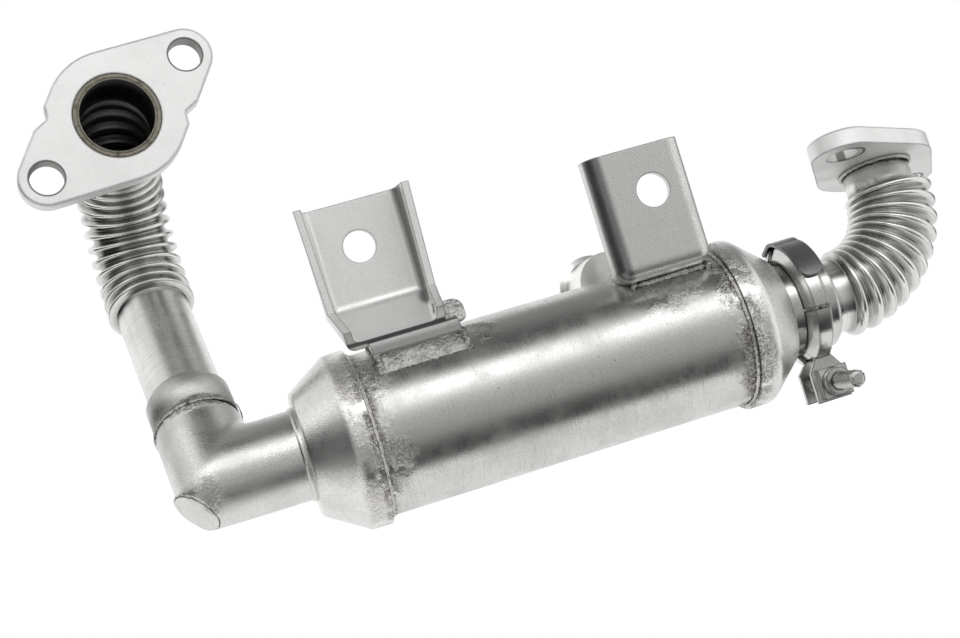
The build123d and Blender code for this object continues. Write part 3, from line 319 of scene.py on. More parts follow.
def make_floor():
    """A pale plain table under the object, white where it is seen, and shaded under the object"""
    material = bpy.data.materials.new("floor")
    material.use_nodes = True
    graph = Graph(material.node_tree)
    material.node_tree.nodes.remove(material.node_tree.nodes["Principled BSDF"])
    paper = graph.add("ShaderNodeBsdfDiffuse")
    paper.inputs["Color"].default_value = grey(FLOOR_GREY)
    glow = graph.add("ShaderNodeEmission")
    glow.inputs["Color"].default_value = grey(1.0)
    glow.inputs["Strength"].default_value = FLOOR_GLOW
    rays = graph.add("ShaderNodeLightPath").outputs
    seen = graph.math("MAXIMUM", rays["Is Camera Ray"], rays["Is Glossy Ray"])
    seen = graph.math("MAXIMUM", seen, rays["Is Transmission Ray"])
    blend = graph.add("ShaderNodeMixShader")
    graph.put(blend.inputs[0], graph.math("MULTIPLY", seen, GLOW_SHARE))
    graph.put(blend.inputs[1], paper.outputs[0])
    graph.put(blend.inputs[2], glow.outputs[0])
    graph.put(material.node_tree.nodes["Material Output"].inputs["Surface"], blend.outputs[0])
    left, near = FLOOR_LOW
    right, far = FLOOR_HIGH
    low = cad_box[0].z - FLOOR_DROP
    corners = [(left, near, low), (right, near, low), (right, far, low), (left, far, low)]
    mesh = bpy.data.meshes.new("floor")
    mesh.from_pydata(corners, [], [(0, 1, 2, 3)])
    mesh.materials.append(material)
    floor = bpy.data.objects.new("floor", mesh)
    bpy.context.scene.collection.objects.link(floor)


# Scales of the steels' noise, in waves to the metre
CLOUD_SCALE = 70.0
PIT_FIELD_SCALE = 130.0
SPECKLE_SCALE = 170.0
PIT_SCALE = 420.0
PATCH_SCALE = 420.0
CRUMB_SCALE = 1300.0
FINE_SCALE = 2600.0
# The levels of noise from which a layer starts to show and shows fully
WORN_SPAN = (0.35, 0.75)
GRIT_SPAN = (0.42, 0.62)
STREAK_SPAN = (0.52, 0.7)
RING_SPAN = (0.5, 0.66)
PIT_SPAN = (0.45, 0.8)
BLOTCH_SPAN = (0.5, 0.64)
SPECKLE_SPAN = (0.36, 0.58)
# The cosine of the turn at an edge at which its painted shade line starts to show and shows fully
EDGE_SPAN = (0.98, 0.86)
# How dark a layer is, as a share of the steel's colour
SMUDGE_SHADE = 0.6
STREAK_SHADE = 0.45
GRIT_SHADE = 0.3
RING_SHADE = 0.25
# What a layer adds to the roughness, the height and the tone at full strength
FINE_ROUGHNESS = 0.22
WORN_ROUGHNESS = 0.14
STREAK_ROUGHNESS = 0.1
STREAK_HEIGHT = 0.03
RING_HEIGHT = 0.2
PIT_HEIGHT = -0.05
BLOTCH_HEIGHT = 0.25
CRUMB_HEIGHT = 0.5
STREAK_TINT = 0.25
PIT_TINT = 0.75
# The largest pit, as a share of its cell
PIT_RADIUS = 0.2
# Rings of noise along a drawn pipe, in waves to the millimetre
RING_SCALE = 2.4
# How fast the painted shade fades from a root to its crest
CREST_POWER = 1.6
# How far a mark's border strays and how far in it is full, as shares of the mark's width
STRAY_SHARE = 1.4
FULL_SHARE = 0.5
# The level of crumbs from which they show in a mark, what its speckle takes off, and the full one
CRUMB_START = 0.56
CRUMB_SPREAD = 0.2
CRUMB_FULL = 0.62
EDGE_SAMPLES = 4
LEAST_ROUGHNESS = 0.08
BUMP_STRENGTH = 0.6
BUMP_DISTANCE = 0.0008
# A stain, or a line or band of painted shade: distance(graph, spot) says how far a spot lies off it,
# and speckle breaks it up
Mark = namedtuple("Mark", "distance width tint amount speckle")


def off_seam(x):
    """Distance from the plane at x, square to the shell's axis"""
    def distance(graph, spot):
        split = graph.add("ShaderNodeSeparateXYZ")
        graph.put(split.inputs[0], spot)
        return graph.math("ABSOLUTE", graph.math("SUBTRACT", split.outputs["X"], x))
    return distance


def off_ring(centre, along):
    """Distance from the plane through a point, square to a direction"""
    def distance(graph, spot):
        inner = graph.vector("DOT_PRODUCT", graph.vector("SUBTRACT", spot, centre), along)
        return graph.math("ABSOLUTE", inner)
    return distance


def off_line(centre, along, radius=0.0):
    """Distance from a line, or from the cylinder of a radius about it"""
    def distance(graph, spot):
        crossed = graph.vector("CROSS_PRODUCT", graph.vector("SUBTRACT", spot, centre), along)
        length = graph.vector("LENGTH", crossed)
        return graph.math("ABSOLUTE", graph.math("SUBTRACT", length, radius))
    return distance


def off_point(centre):
    """Distance from a point"""
    def distance(graph, spot):
        return graph.vector("DISTANCE", spot, centre)
    return distance


class Coat:
    """A steel's tone, roughness and height, built up layer by layer"""

    def __init__(self, graph, colour, dark, rough):
        self.graph = graph
        self.colour = colour
        self.dark = (*dark, 1.0)
        self.tone = (*colour, 1.0)
        self.roughness = rough
        self.height = 0.0
        self.normal = None
        self.spot = graph.add("ShaderNodeTexCoord").outputs["Object"]
        self.cloud = graph.noise(self.spot, CLOUD_SCALE, detail=5.0, roughness=0.65)
        self.crumb = graph.noise(self.spot, CRUMB_SCALE, detail=4.0, roughness=0.7)

    def tint(self, mask, amount, colour):
        self.tone = self.graph.mix(self.graph.math("MULTIPLY", mask, amount), self.tone, colour)

    def roughen(self, mask, amount):
        change = self.graph.math("MULTIPLY", mask, amount)
        self.roughness = self.graph.math("ADD", self.roughness, change)

    def lift(self, mask, amount):
        self.height = self.graph.math("ADD", self.height, self.graph.math("MULTIPLY", mask, amount))

    def wear(self, grain, grit, smudge):
        """Cloudy smudges, fine dark grit and a fine grain"""
        fine = self.graph.noise(self.spot, FINE_SCALE, detail=3.0, roughness=0.7)
        worn = self.graph.span(self.cloud, *WORN_SPAN)
        self.tint(worn, smudge, shade(self.colour, SMUDGE_SHADE))
        self.tint(self.graph.span(fine, *GRIT_SPAN), grit, shade(self.colour, GRIT_SHADE))
        self.roughen(self.graph.math("SUBTRACT", fine, 0.5), FINE_ROUGHNESS)
        self.roughen(worn, WORN_ROUGHNESS)
        self.lift(fine, grain)

    def brush(self, turn, scale, strength):
        """Long brushed streaks"""
        spot = self.graph.stretch(self.spot, turn, scale)
        lines = self.graph.noise(spot, 1.0, detail=3.0, roughness=0.6)
        self.roughen(lines, STREAK_ROUGHNESS * strength)
        self.lift(lines, STREAK_HEIGHT * strength)
        mask = self.graph.span(lines, *STREAK_SPAN)
        self.tint(mask, STREAK_TINT * strength, shade(self.colour, STREAK_SHADE))

    def draw_rings(self, strength):
        """Fine rings round a drawn pipe"""
        along = self.graph.add("ShaderNodeAttribute", attribute_name="along").outputs["Fac"]
        row = self.graph.add("ShaderNodeCombineXYZ")
        self.graph.put(row.inputs[0], along)
        row = self.graph.vector("SCALE", row.outputs[0], RING_SCALE)
        spot = self.graph.vector("ADD", row, self.spot)
        lines = self.graph.noise(spot, 1.0, detail=4.0, roughness=0.75)
        mask = self.graph.span(lines, *RING_SPAN)
        self.tint(mask, strength, shade(self.colour, RING_SHADE))
        self.lift(lines, RING_HEIGHT * strength)

    def pit(self, amount):
        """Small round pits, more of them in some places"""
        cells = self.graph.add("ShaderNodeTexVoronoi")
        self.graph.put(cells.inputs["Vector"], self.spot)
        cells.inputs["Scale"].default_value = PIT_SCALE
        field = self.graph.span(self.graph.noise(self.spot, PIT_FIELD_SCALE), *PIT_SPAN)
        size = self.graph.math("MULTIPLY", field, PIT_RADIUS * amount)
        pits = self.graph.math("LESS_THAN", cells.outputs["Distance"], size)
        self.tint(pits, PIT_TINT, self.dark)
        self.lift(pits, PIT_HEIGHT)

    def blotch(self, amount):
        """Rough dark patches, as on burnt or welded metal"""
        patch = self.graph.noise(self.spot, PATCH_SCALE, detail=6.0, roughness=0.75)
        self.tint(self.graph.span(patch, *BLOTCH_SPAN), amount, self.dark)
        self.lift(patch, BLOTCH_HEIGHT * amount)

    def stain_and_shade(self, mark):
        """A stain, or a line or band of painted shade, with a ragged border"""
        graph, width, speckle = self.graph, mark.width, mark.speckle
        ragged = graph.math("SUBTRACT", self.cloud, 0.5)
        ragged = graph.math("MULTIPLY", ragged, width * STRAY_SHARE * speckle)
        border = graph.math("ADD", mark.distance(graph, self.spot), ragged)
        near = graph.span(border, width, width * FULL_SHARE)
        if speckle:
            islands = graph.noise(self.spot, SPECKLE_SCALE, detail=3.0)
            islands = graph.span(islands, *SPECKLE_SPAN)
            near = graph.math("MULTIPLY", near, islands)
            self.lift(graph.math("MULTIPLY", self.crumb, near), CRUMB_HEIGHT * speckle)
            crumbs = graph.span(self.crumb, CRUMB_START - CRUMB_SPREAD * speckle, CRUMB_FULL)
            near = graph.math("MULTIPLY", near, crumbs)
        self.tint(near, mark.amount, (*mark.tint, 1.0))

    def paint_root_shade(self, amount):
        """Painted shade in the roots between a pipe's crests, or with an amount below 0 painted shade
        in its crests, the hollows seen from its bore
        """
        part = self.graph.add("ShaderNodeAttribute", attribute_name="crest").outputs["Fac"]
        if amount > 0:
            part = self.graph.math("SUBTRACT", 1.0, part, clamp=True)
        self.tint(self.graph.math("POWER", part, CREST_POWER), abs(amount), self.dark)

    def soften_and_shade_edges(self, radius, amount):
        """Edges that catch the light as if rounded, with a painted shade line along them"""
        rounded = self.graph.add("ShaderNodeBevel", samples=EDGE_SAMPLES)
        rounded.inputs["Radius"].default_value = radius
        self.normal = rounded.outputs[0]
        flat = self.graph.add("ShaderNodeNewGeometry").outputs["Normal"]
        turn = self.graph.vector("DOT_PRODUCT", self.normal, flat)
        self.tint(self.graph.span(turn, *EDGE_SPAN), amount, self.dark)


def steel(
    name, colour=(0.70, 0.70, 0.68), rough=0.3, metallic=1.0, grain=0.03, grit=0.2, streak=None,
    smudge=0.25, pits=0.5, edge=0.0, edge_shade=0.5, marks=(), dark=(0.10, 0.095, 0.09),
    blotch=0.0, root_shade=0.0, rings=0.0,
):
    """A worn satin steel, with painted shade at pipe roots and along edges if asked. streak is (turn,
    scale, strength), and marks are Mark values
    """
    material = bpy.data.materials.new(name)
    material.use_nodes = True
    graph = Graph(material.node_tree)
    coat = Coat(graph, colour, dark, rough)
    coat.wear(grain, grit, smudge)
    if streak:
        coat.brush(*streak)
    if rings:
        coat.draw_rings(rings)
    if pits:
        coat.pit(pits)
    if blotch:
        coat.blotch(blotch)
    for mark in marks:
        coat.stain_and_shade(mark)
    if root_shade:
        coat.paint_root_shade(root_shade)
    if edge:
        coat.soften_and_shade_edges(edge, edge_shade)
    shader = material.node_tree.nodes["Principled BSDF"]
    graph.put(shader.inputs["Base Color"], coat.tone)
    graph.put(shader.inputs["Roughness"], graph.math("MAXIMUM", coat.roughness, LEAST_ROUGHNESS))
    shader.inputs["Metallic"].default_value = metallic
    graph.put(shader.inputs["Normal"], graph.bump(coat.height, coat.normal))
    return material


def new_piece(name, vertices, faces, materials, replaced):
    """A mesh piece that rides on the root and stands for the CAD nodes in replaced, if any"""
    mesh = bpy.data.meshes.new(name)
    mesh.from_pydata(vertices, [], faces)
    for material in materials:
        mesh.materials.append(material)
    mesh.polygons.foreach_set("use_smooth", [True] * len(mesh.polygons))
    mesh.update()
    piece = bpy.data.objects.new(name, mesh)
    bpy.context.scene.collection.objects.link(piece)
    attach(piece, "root")
    if replaced:
        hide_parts(*replaced)
    return piece


def bend_turn(pipe):
    """The angle of a pipe's bend"""
    return math.acos(pipe["run_in"].dot(pipe["run_out"]))


def pipe_end(pipe):
    """How far a pipe's end lies from its bend's start, along its path"""
    return bend_turn(pipe) * pipe["bend"] + pipe["end"]


def path_point(pipe, distance, radius, angle):
    """A point on a pipe's skin, by distance from its bend's start and angle round its path"""
    run_in, run_out, bend = pipe["run_in"], pipe["run_out"], pipe["bend"]
    turn = bend_turn(pipe)
    inward = (run_out - run_in * run_in.dot(run_out)).normalized()
    bent = min(max(distance / bend, 0.0), turn)
    along = run_in * math.cos(bent) + inward * math.sin(bent)
    towards = inward * math.cos(bent) - run_in * math.sin(bent)
    point = pipe["start"] + run_in * (bend * math.sin(bent))
    point += inward * (bend * (1 - math.cos(bent)))
    point += along * (distance - bent * bend)
    sideways = along.cross(towards)
    point += towards * (radius * math.cos(angle)) + sideways * (radius * math.sin(angle))
    point += pipe["set"] * min(max((distance - turn * bend) / OUTLET_SET_RUN, 0.0), 1.0)
    return place(*point)


def crest_rows(pipe):
    """(distance, radius) pairs of a row of U-shaped crests, a little uneven as formed ones are"""
    draw = random.Random(pipe["crests"])
    pitch = pipe["pitch"]
    rows = []
    for index in range(pipe["crests"]):
        height = (CREST_RADIUS - TUBE_RADIUS) * (1 + draw.uniform(-CREST_UNEVEN, 0.0))
        shift = pitch * draw.uniform(-PITCH_UNEVEN, PITCH_UNEVEN)
        middle = pipe["first"] + index * pitch + shift
        for step in range(STEPS_PER_CREST):
            part = step / STEPS_PER_CREST - 0.5
            swell = math.tanh(CREST_FLATNESS * math.cos(math.tau * part))
            swell = 0.5 + 0.5 * swell / math.tanh(CREST_FLATNESS)
            rows.append((middle + part * pitch, TUBE_RADIUS + height * swell))
    return rows


def ring_faces(row_count):
    """Faces between rows of PIPE_SIDES vertices, with the last row joined to the first"""
    faces = []
    for row in range(row_count):
        here = row * PIPE_SIDES
        following = (row + 1) % row_count * PIPE_SIDES
        for side in range(PIPE_SIDES):
            other = (side + 1) % PIPE_SIDES
            faces.append((here + side, here + other, following + other, following + side))
    return faces


# The order of a pipe's materials
SKIN_KIND, BORE_KIND, SOCKET_KIND, RING_KIND = range(4)


def pipe_piece(name, pipe, plain, rough_rows, materials, node):
    """A corrugated pipe of one wall: outside, both ends and bore. Its first rows are rough"""
    last_root = pipe["first"] + pipe["pitch"] * (pipe["crests"] - 0.5)
    crests = crest_rows(pipe)
    end_rows = [(last_root + END_TAPER, pipe["end_radius"]), (pipe_end(pipe), pipe["end_radius"])]
    outer = plain + crests + end_rows
    rows = outer + [(distance, radius - TUBE_WALL) for distance, radius in reversed(outer)]
    vertices = [
        path_point(pipe, distance, radius, math.tau * side / PIPE_SIDES)
        for distance, radius in rows
        for side in range(PIPE_SIDES)
    ]
    faces = ring_faces(len(rows))
    piece = new_piece(name, vertices, faces, materials, [node])
    inside = len(outer) * PIPE_SIDES
    end = inside - PIPE_SIDES
    kinds = [
        BORE_KIND if index >= inside else RING_KIND if index >= end
        else SOCKET_KIND if index < rough_rows * PIPE_SIDES else SKIN_KIND
        for index in range(len(faces))
    ]
    piece.data.polygons.foreach_set("material_index", kinds)
    swells = [(radius - TUBE_RADIUS) / (CREST_RADIUS - TUBE_RADIUS) for _, radius in crests]
    swells = [1.0] * len(plain) + swells + [1.0] * len(end_rows)
    distances = [distance for distance, _ in rows]
    for label, values in (("crest", swells + swells[::-1]), ("along", distances)):
        measure = piece.data.attributes.new(label, "FLOAT", "POINT")
        measure.data.foreach_set("value", [value for value in values for _ in range(PIPE_SIDES)])


def neck_lip(material):
    """The turned lip of the inlet cone round the elbow's neck"""
    vertices = []
    for step in range(LIP_STEPS + 1):
        rise = math.pi * step / LIP_STEPS
        x = LIP_X - LIP_HALF_WIDTH * math.cos(rise)
        radius = LIP_RADIUS + LIP_RISE * math.sin(rise)
        for side in range(PIPE_SIDES):
            angle = math.tau * side / PIPE_SIDES
            y, z = radius * math.sin(angle), ELBOW_CENTRE.z + radius * math.cos(angle)
            vertices.append(place(x, y, z))
    new_piece("neck_lip", vertices, ring_faces(LIP_STEPS + 1), (material,), [])


def settle(piece):
    """Applies a piece's modifiers"""
    graph = bpy.context.evaluated_depsgraph_get()
    mesh = bpy.data.meshes.new_from_object(piece.evaluated_get(graph))
    piece.modifiers.clear()
    piece.data = mesh


SMOOTH_FACTOR = 0.5


def remeshed(node, name, material, voxel, smooth, ease=None, lift=None):
    """A fine copy of a CAD node. ease(spot) is its share of smoothing, lift(spot) its push outwards"""
    piece = bpy.data.objects.new(name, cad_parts[node].data.copy())
    bpy.context.scene.collection.objects.link(piece)
    remesh = piece.modifiers.new("remesh", "REMESH")
    remesh.mode = "VOXEL"
    remesh.voxel_size = voxel
    settle(piece)
    soft = piece.modifiers.new("soft", "SMOOTH")
    soft.factor = SMOOTH_FACTOR
    soft.iterations = smooth
    if ease:
        group = piece.vertex_groups.new(name="ease")
        for vertex in piece.data.vertices:
            group.add([vertex.index], ease(vertex.co), "REPLACE")
        soft.vertex_group = "ease"
    settle(piece)
    piece.vertex_groups.clear()
    mesh = piece.data
    if lift:
        for vertex in mesh.vertices:
            vertex.co += vertex.normal * lift(vertex.co)
        mesh.update()
    mesh.materials.clear()
    mesh.materials.append(material)
    mesh.polygons.foreach_set("use_smooth", [True] * len(mesh.polygons))
    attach(piece, "root")
    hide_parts(node)


# A weld bead's lumps, in waves to the metre, and their shares of its height
COARSE_LUMPS = 900
FINE_LUMPS = 2300
COARSE_SHARE = 0.6
FINE_SHARE = 0.4
# Its ripples to a turn, and how deep and how far in its ends are tapered
RIPPLES = 90
END_SINK = 0.0016
END_RUN = 0.004


def bead_lift(height, ripple=0.0, sink=0.0, ends=None):
    """The uneven face of a weld bead, with ripples round the shell's axis and tapered ends"""
    def lift(spot):
        rise = noise.noise(spot * COARSE_LUMPS) * COARSE_SHARE
        rise += noise.noise(spot * FINE_LUMPS) * FINE_SHARE
        rise += ripple * math.sin(math.atan2(spot.y, spot.z) * RIPPLES)
        taper = 0.0
        if ends:
            inset = min(spot.x - ends[0], ends[1] - spot.x)
            taper = END_SINK * max(0.0, 1 - inset / END_RUN) ** 2
        return rise * height - sink - taper
    return lift


# The elbow's crease is smoothed near its mitre and fades away from it. The plug is left sharp
# within PLUG_KEEP of its axis.
ELBOW_AT = place(*ELBOW_CENTRE)
MITRE_NORMAL = (SIDEWAYS - INLET["run_in"]).normalized()
PLUG_DIRECTION = -(SIDEWAYS + INLET["run_in"]).normalized()
MITRE_BLEND = 0.013
MITRE_GAIN = 1.5
PLUG_KEEP = 0.0085
PLUG_FADE = 0.003


def elbow_ease(spot):
    """1 at the elbow's mitre, and 0 a little way off it and over the plug"""
    off = spot - ELBOW_AT
    crease = 1 - abs(off.dot(MITRE_NORMAL)) / MITRE_BLEND
    plug = 1
    if off.dot(PLUG_DIRECTION) > 0:
        plug = (off.cross(PLUG_DIRECTION).length - PLUG_KEEP) / PLUG_FADE
    return max(0.0, min(1.0, crease * MITRE_GAIN, plug))


# The clamp bolt's axis, which runs along Y, and its thread
BOLT_PLACE = place(156.0, 0, -28.1)
THREAD_START = place(0, -10.0, 0).y
THREAD_PITCH = 0.00125
THREAD_DEPTH = 0.00045
THREAD_ROOT = 0.0018


def thread_lift(spot):
    """The bolt's thread, cut into its round shank in front of the lugs"""
    x, z = spot.x - BOLT_PLACE.x, spot.z - BOLT_PLACE.z
    if math.hypot(x, z) < THREAD_ROOT or spot.y > THREAD_START:
        return 0.0
    winding = spot.y / THREAD_PITCH + math.atan2(x, z) / math.tau
    return -THREAD_DEPTH * abs(2 * (winding % 1.0) - 1)


def paint(material, *nodes):
    """Gives CAD nodes a material"""
    for node in nodes:
        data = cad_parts[node].data
        data.materials.clear()
        data.materials.append(material)


BROWN = (0.33, 0.27, 0.20)
# This dark is soot by the welds, and is also used as painted shade on the bolt holes' walls and beside
# the elbow's plug
SOOT_AND_SHADE = (0.11, 0.10, 0.09)
# This dark is painted shade, painted shadow and painted dark reflections along the brackets' folds
FOLD_SHADE = (0.08, 0.08, 0.08)
PALE_WELD = (0.88, 0.87, 0.83)
# A streak's turn and scale: round the shell, and up the brackets
BRUSHED_ROUND = ((0.0, 0.0, 0.0), (1900.0, 90.0, 90.0))
BRUSHED_UP = ((0.0, math.radians(90), 0.0), (14.0, 1500.0, 1500.0))
ELBOW_WELD = place(*(ELBOW_CENTRE + INLET["run_in"] * INLET_WELD_DISTANCE))
# Soot where the pipe is welded to the elbow, on both of them
WELD_SOOT = Mark(off_ring(ELBOW_WELD, INLET["run_in"]), 0.0034, SOOT_AND_SHADE, 0.85, 1.3)
HOLE_RADIUS = 0.0055
HOLE_LINE = 0.0007
# Places that are stained or get painted shade, and lines along which a sheet gets painted shade or a
# painted dark reflection, or a weld is pale
SADDLE_END = place(42.0, -15.0, 22.5)
SADDLE_START = place(5.0, -19.0, 19.0)
RIGHT_FOOT = place(107.0, -20.0, 18.0)
LEFT_SEAM_FRONT = place(6.0, -25.0, -9.0)
ELBOW_FRONT = place(-53.5, -12.5, -3.5)
LEG_END = place(38.5, -10.0, 31.0)
LEFT_SIDE_FOLD = place(33.4, -0.6, 0)
LEFT_LEG_FOLD = place(0, -12.2, 28.9)
LEFT_LEG_SHADE = place(0, -19.0, 24.0)
RIGHT_SIDE_FOLD = place(92.4, -22.6, 0)
SADDLE_WELD_FRONT = place(0, -21.6, 17.6)
SADDLE_WELD_TOP = place(0, -18.0, 21.0)


def hole_shade_marks():
    """Painted shade on the walls of the flanges' bolt holes"""
    marks = []
    for pipe in (INLET, OUTLET):
        middle = path_point(pipe, pipe_end(pipe), 0.0, 0.0) - pipe["set"] * MM
        long_axis, square = pipe["hole_axis"], pipe["run_out"]
        across = (long_axis - square * long_axis.dot(square)).normalized()
        for side in (-1, 1):
            hole = middle + across * (side * pipe["hole_spacing"] / 2 * MM)
            # Painted shade on the hole's wall
            marks.append(Mark(off_line(hole, square, HOLE_RADIUS), HOLE_LINE, SOOT_AND_SHADE, 0.8, 0.0))
    return tuple(marks)


def dress_inside():
    """The pieces that can't be seen"""
    plain = steel("inner_steel", rough=0.4)
    inside = [
        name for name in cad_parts
        if name.startswith(("gas_tube", "baffle")) or name.endswith("header_plate")
    ]
    paint(plain, "seal_ring", *inside)


def dress_shell():
    """The shell and its end cones, stained along the seams"""
    shell = steel(
        "shell_steel", colour=(0.72, 0.72, 0.70), rough=0.2, streak=(*BRUSHED_ROUND, 1.0), pits=0.6,
        grit=0.28,
        marks=(
            Mark(off_seam(SEAM_LEFT), 0.009, BROWN, 0.35, 0.8),
            Mark(off_seam(SEAM_LEFT), 0.0042, SOOT_AND_SHADE, 0.8, 1.2),
            Mark(off_seam(SEAM_RIGHT), 0.009, BROWN, 0.45, 0.8),
            Mark(off_seam(SEAM_RIGHT), 0.007, SOOT_AND_SHADE, 0.9, 1.2),
            Mark(off_point(SADDLE_END), 0.008, SOOT_AND_SHADE, 0.9, 1.4),
            Mark(off_point(SADDLE_START), 0.010, SOOT_AND_SHADE, 0.7, 1.2),
            Mark(off_point(RIGHT_FOOT), 0.012, SOOT_AND_SHADE, 0.5, 1.0),
            Mark(off_point(LEFT_SEAM_FRONT), 0.008, SOOT_AND_SHADE, 0.7, 1.2),
        ),
    )
    cone = steel(
        "cone_steel", colour=(0.86, 0.86, 0.84), rough=0.24, grain=0.12, grit=0.3, pits=0.3,
        marks=(
            Mark(off_seam(SEAM_LEFT - 0.003), 0.0055, BROWN, 0.45, 0.9),
            Mark(off_seam(SEAM_LEFT), 0.0025, SOOT_AND_SHADE, 0.8, 1.2),
            Mark(off_seam(SEAM_RIGHT), 0.007, BROWN, 0.35, 0.9),
            Mark(off_seam(SEAM_RIGHT), 0.005, SOOT_AND_SHADE, 0.75, 1.2),
        ),
    )
    paint(shell, "cooler_shell")
    paint(cone, "inlet_end_cone", "outlet_end_cone")


def dress_flanges():
    """The two flanges, with painted shade lines along their edges and painted shade on their hole
    walls
    """
    plate = steel(
        "flange_steel", colour=(0.96, 0.96, 0.95), rough=0.42, metallic=0.6, grain=0.05, pits=0.6,
        grit=0.08, smudge=0.12, edge=0.0009, edge_shade=0.9, dark=(0.05, 0.05, 0.05),
        marks=hole_shade_marks(),
    )
    paint(plate, "inlet_flange", "outlet_flange")


def dress_brackets():
    """The two brackets, with painted shade and painted dark reflections along their folds, and painted
    shade lines along their edges
    """
    left = steel(
        "left_bracket_steel", colour=(0.98, 0.98, 0.96), rough=0.28, metallic=0.5, pits=0.4,
        edge=0.0008, edge_shade=0.85, dark=(0.05, 0.05, 0.05), grit=0.2, smudge=0.15,
        streak=(*BRUSHED_UP, 0.4),
        marks=(
            # Painted dark reflection along the left side fold, painted shadow in the gap under the
            # leg's end, and painted shade on the tongue below it
            Mark(off_line(LEFT_SIDE_FOLD, UP), 0.0048, FOLD_SHADE, 0.8, 0.0),
            Mark(off_line(LEFT_LEG_FOLD, SIDEWAYS), 0.0013, FOLD_SHADE, 0.9, 0.0),
            Mark(off_line(LEFT_LEG_SHADE, SIDEWAYS), 0.0075, FOLD_SHADE, 0.45, 0.0),
            Mark(off_point(LEG_END), 0.0085, SOOT_AND_SHADE, 0.8, 1.4),
        ),
    )
    right = steel(
        "right_bracket_steel", colour=(0.82, 0.82, 0.80), rough=0.24, metallic=0.85, pits=0.3,
        edge=0.0008, edge_shade=0.85, dark=(0.05, 0.05, 0.05), grit=0.45, smudge=0.35,
        streak=(*BRUSHED_UP, 0.4),
        # Painted dark reflection along the right bracket's left side fold
        marks=(Mark(off_line(RIGHT_SIDE_FOLD, UP), 0.0046, FOLD_SHADE, 0.75, 0.0),),
    )
    paint(left, "left_bracket")
    paint(right, "right_bracket")


def inlet_plain_rows():
    """(distance, radius) rows of the inlet pipe's socket, shoulder and plain straight"""
    start = INLET_WELD_DISTANCE - INLET_BEND_DISTANCE
    end = start + SOCKET_LENGTH
    rows = [(start, SOCKET_RADIUS), (end, SOCKET_RADIUS)]
    for step in range(1, SHOULDER_STEPS + 1):
        part = step / SHOULDER_STEPS
        ease = 0.5 + 0.5 * math.cos(math.pi * part)
        radius = TUBE_RADIUS + (SOCKET_RADIUS - TUBE_RADIUS) * ease
        rows.append((end + SHOULDER_LENGTH * part, radius))
    return rows + [(PLAIN_END, TUBE_RADIUS)]


def dress_pipes(ring):
    """The coolant pipes and the two corrugated gas pipes"""
    pipe = steel("pipe_steel", colour=(0.94, 0.94, 0.92), rough=0.16, smudge=0.15, pits=0.2)
    # The bellows' roots get painted shade
    bellows = steel(
        "bellows_steel", colour=(0.86, 0.86, 0.84), rough=0.17, smudge=0.2, pits=0.2, root_shade=0.6,
        rings=0.5,
    )
    # The bore gets painted shade in its hollows
    bore = steel(
        "bore_steel", colour=(0.27, 0.27, 0.26), rough=0.28, grain=0.1, blotch=0.25, pits=0.0,
        dark=(0.02, 0.02, 0.02), root_shade=-0.9, metallic=0.8,
    )
    socket = steel(
        "socket_steel", colour=(0.66, 0.66, 0.64), rough=0.3, grain=0.25, grit=0.4, pits=0.5,
        marks=(WELD_SOOT,),
    )
    paint(pipe, "coolant_top_pipe", "coolant_rear_pipe", "inlet_bellows_pipe", "outlet_bellows_pipe")
    kinds = (bellows, bore, socket, ring)
    inlet_plain = inlet_plain_rows()
    rough_rows = len(inlet_plain) - 2
    pipe_piece("inlet_bellows", INLET, inlet_plain, rough_rows, kinds, "inlet_bellows_pipe")
    outlet_plain = [(OUTLET_START_X - OUTLET_BEND_X, TUBE_RADIUS), (PLAIN_END, TUBE_RADIUS)]
    pipe_piece("outlet_bellows", OUTLET, outlet_plain, 0, kinds, "outlet_bellows_pipe")


def dress_elbow():
    """The elbow with its soft crease, its plug, and the cone's lip round its neck"""
    cast = steel(
        "elbow_steel", colour=(0.78, 0.78, 0.76), rough=0.25, grain=0.16, grit=0.28, pits=0.4,
        # The patch beside the plug is a rough speckled patch, darkened partly as painted shade beside
        # the plug's rim
        marks=(WELD_SOOT, Mark(off_point(ELBOW_FRONT), 0.008, SOOT_AND_SHADE, 0.55, 1.0)),
    )
    paint(cast, "elbow_plug", "gas_elbow")
    neck_lip(cast)
    remeshed(
        "gas_elbow", "elbow_body", cast, voxel=0.00055, smooth=120, ease=elbow_ease
    )


def dress_clamp():
    """The V-flanges and the clamp with its strap, nut and threaded bolt"""
    # The clamp, strap and nut get painted shade lines along their edges
    clamp = steel(
        "clamp_steel", colour=(0.70, 0.70, 0.68), rough=0.12, edge=0.0010, edge_shade=1.0,
        smudge=0.5, grit=0.3, dark=(0.04, 0.04, 0.04),
    )
    strap = steel(
        "strap_steel", colour=(0.28, 0.28, 0.28), rough=0.34, edge=0.0004, edge_shade=0.9,
        smudge=0.5, grit=0.3, dark=(0.03, 0.03, 0.03),
    )
    nut = steel(
        "nut_steel", colour=(0.70, 0.70, 0.68), rough=0.18, edge=0.0010, edge_shade=1.0, grit=0.3,
        dark=(0.04, 0.04, 0.04),
    )
    bolt = steel("bolt_steel", colour=(0.60, 0.60, 0.58), rough=0.24, grit=0.25)
    paint(clamp, "clamp_upper_segment", "clamp_lower_segment", "clamp_rear_segment")
    paint(clamp, "cooler_v_flange", "pipe_v_flange")
    paint(strap, "clamp_strap")
    paint(nut, "clamp_nut")
    paint(bolt, "clamp_bolt")
    remeshed(
        "clamp_bolt", "bolt_body", bolt, voxel=0.00022, smooth=1, lift=thread_lift
    )


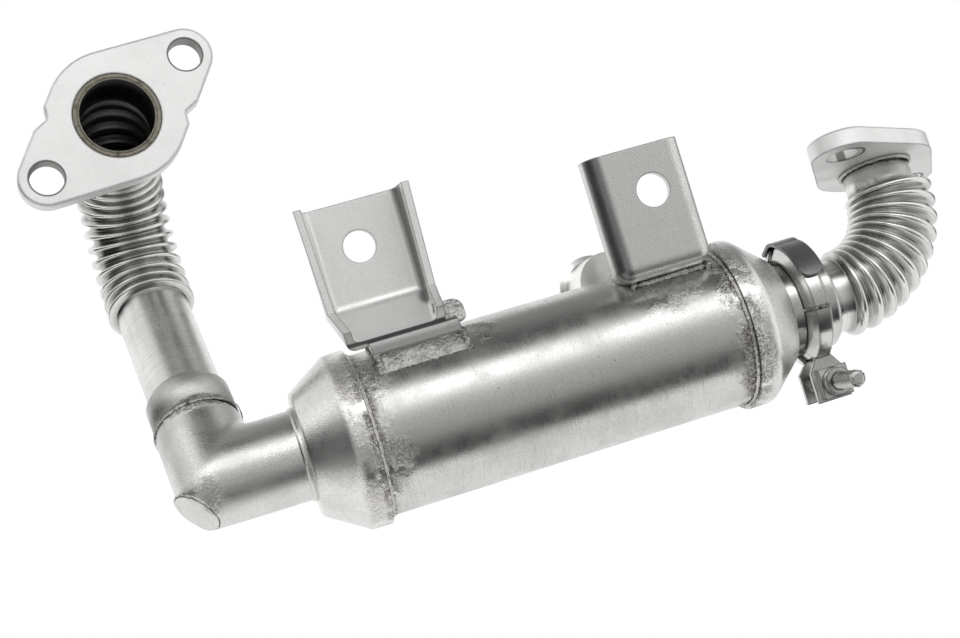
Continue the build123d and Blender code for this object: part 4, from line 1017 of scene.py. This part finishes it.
def dress_welds(ring):
    """The weld beads, rougher than their solids"""
    bead = steel(
        "weld_metal", colour=(0.62, 0.61, 0.58), rough=0.24, grain=0.3, blotch=0.45, pits=0.6
    )
    burnt = steel(
        "burnt_weld", colour=(0.60, 0.59, 0.57), rough=0.3, grain=0.3, blotch=0.95, pits=0.8
    )
    saddle = steel(
        "saddle_weld", colour=(0.45, 0.445, 0.43), rough=0.28, grain=0.4, blotch=0.5, pits=0.8,
        marks=(
            Mark(off_line(SADDLE_WELD_FRONT, SIDEWAYS), 0.0060, PALE_WELD, 0.9, 1.6),
            Mark(off_line(SADDLE_WELD_TOP, SIDEWAYS), 0.0020, PALE_WELD, 0.9, 1.6),
        ),
    )
    seams = ["inlet_seam_weld", "outlet_seam_weld", "outlet_collar_weld"]
    feet = ["left_bracket_weld", "right_bracket_weld"]
    paint(bead, *seams)
    paint(burnt, "elbow_weld")
    paint(saddle, *feet)
    paint(ring, "inlet_flange_weld", "outlet_flange_weld")
    rippled = bead_lift(0.0003, ripple=0.3, sink=0.00025)
    for node in seams:
        remeshed(node, node + "_bead", bead, voxel=0.0004, smooth=1, lift=rippled)
    remeshed(
        "elbow_weld", "elbow_weld_bead", burnt, voxel=0.00035, smooth=2, lift=rippled
    )
    for node in feet:
        low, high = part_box(node)
        tapered = bead_lift(0.0005, ends=(low[0], high[0]))
        remeshed(node, node + "_bead", saddle, voxel=0.0003, smooth=12, lift=tapered)
    remeshed(
        "inlet_flange_weld", "flange_ring_bead", ring, voxel=0.0003, smooth=2,
        lift=bead_lift(0.0002),
    )


def dress():
    """Materials for the CAD nodes, and the pieces that stand for some of them"""
    ring = steel(
        "weld_ring", colour=(0.30, 0.28, 0.23), rough=0.45, grain=0.3, blotch=0.7,
        dark=(0.07, 0.06, 0.05),
    )
    dress_inside()
    dress_shell()
    dress_flanges()
    dress_brackets()
    dress_pipes(ring)
    dress_elbow()
    dress_clamp()
    dress_welds(ring)


LAMP_AT = Vector((-0.6, -0.5, 0.7))
LAMP_LENGTH = 0.9
LAMP_WIDTH = 0.5
LAMP_WATTS = 1.2


def make_lamp():
    """One long soft lamp above the front left"""
    data = bpy.data.lights.new("key", "AREA")
    data.shape = "RECTANGLE"
    data.size = LAMP_LENGTH
    data.size_y = LAMP_WIDTH
    data.energy = LAMP_WATTS
    lamp = bpy.data.objects.new("key", data)
    lamp.location = LAMP_AT
    lamp.rotation_euler = (-LAMP_AT).to_track_quat("-Z", "Y").to_euler()
    bpy.context.scene.collection.objects.link(lamp)


bpy.context.scene.view_settings.view_transform = "Standard"
make_camera()
make_world()
make_floor()
dress()
make_lamp()
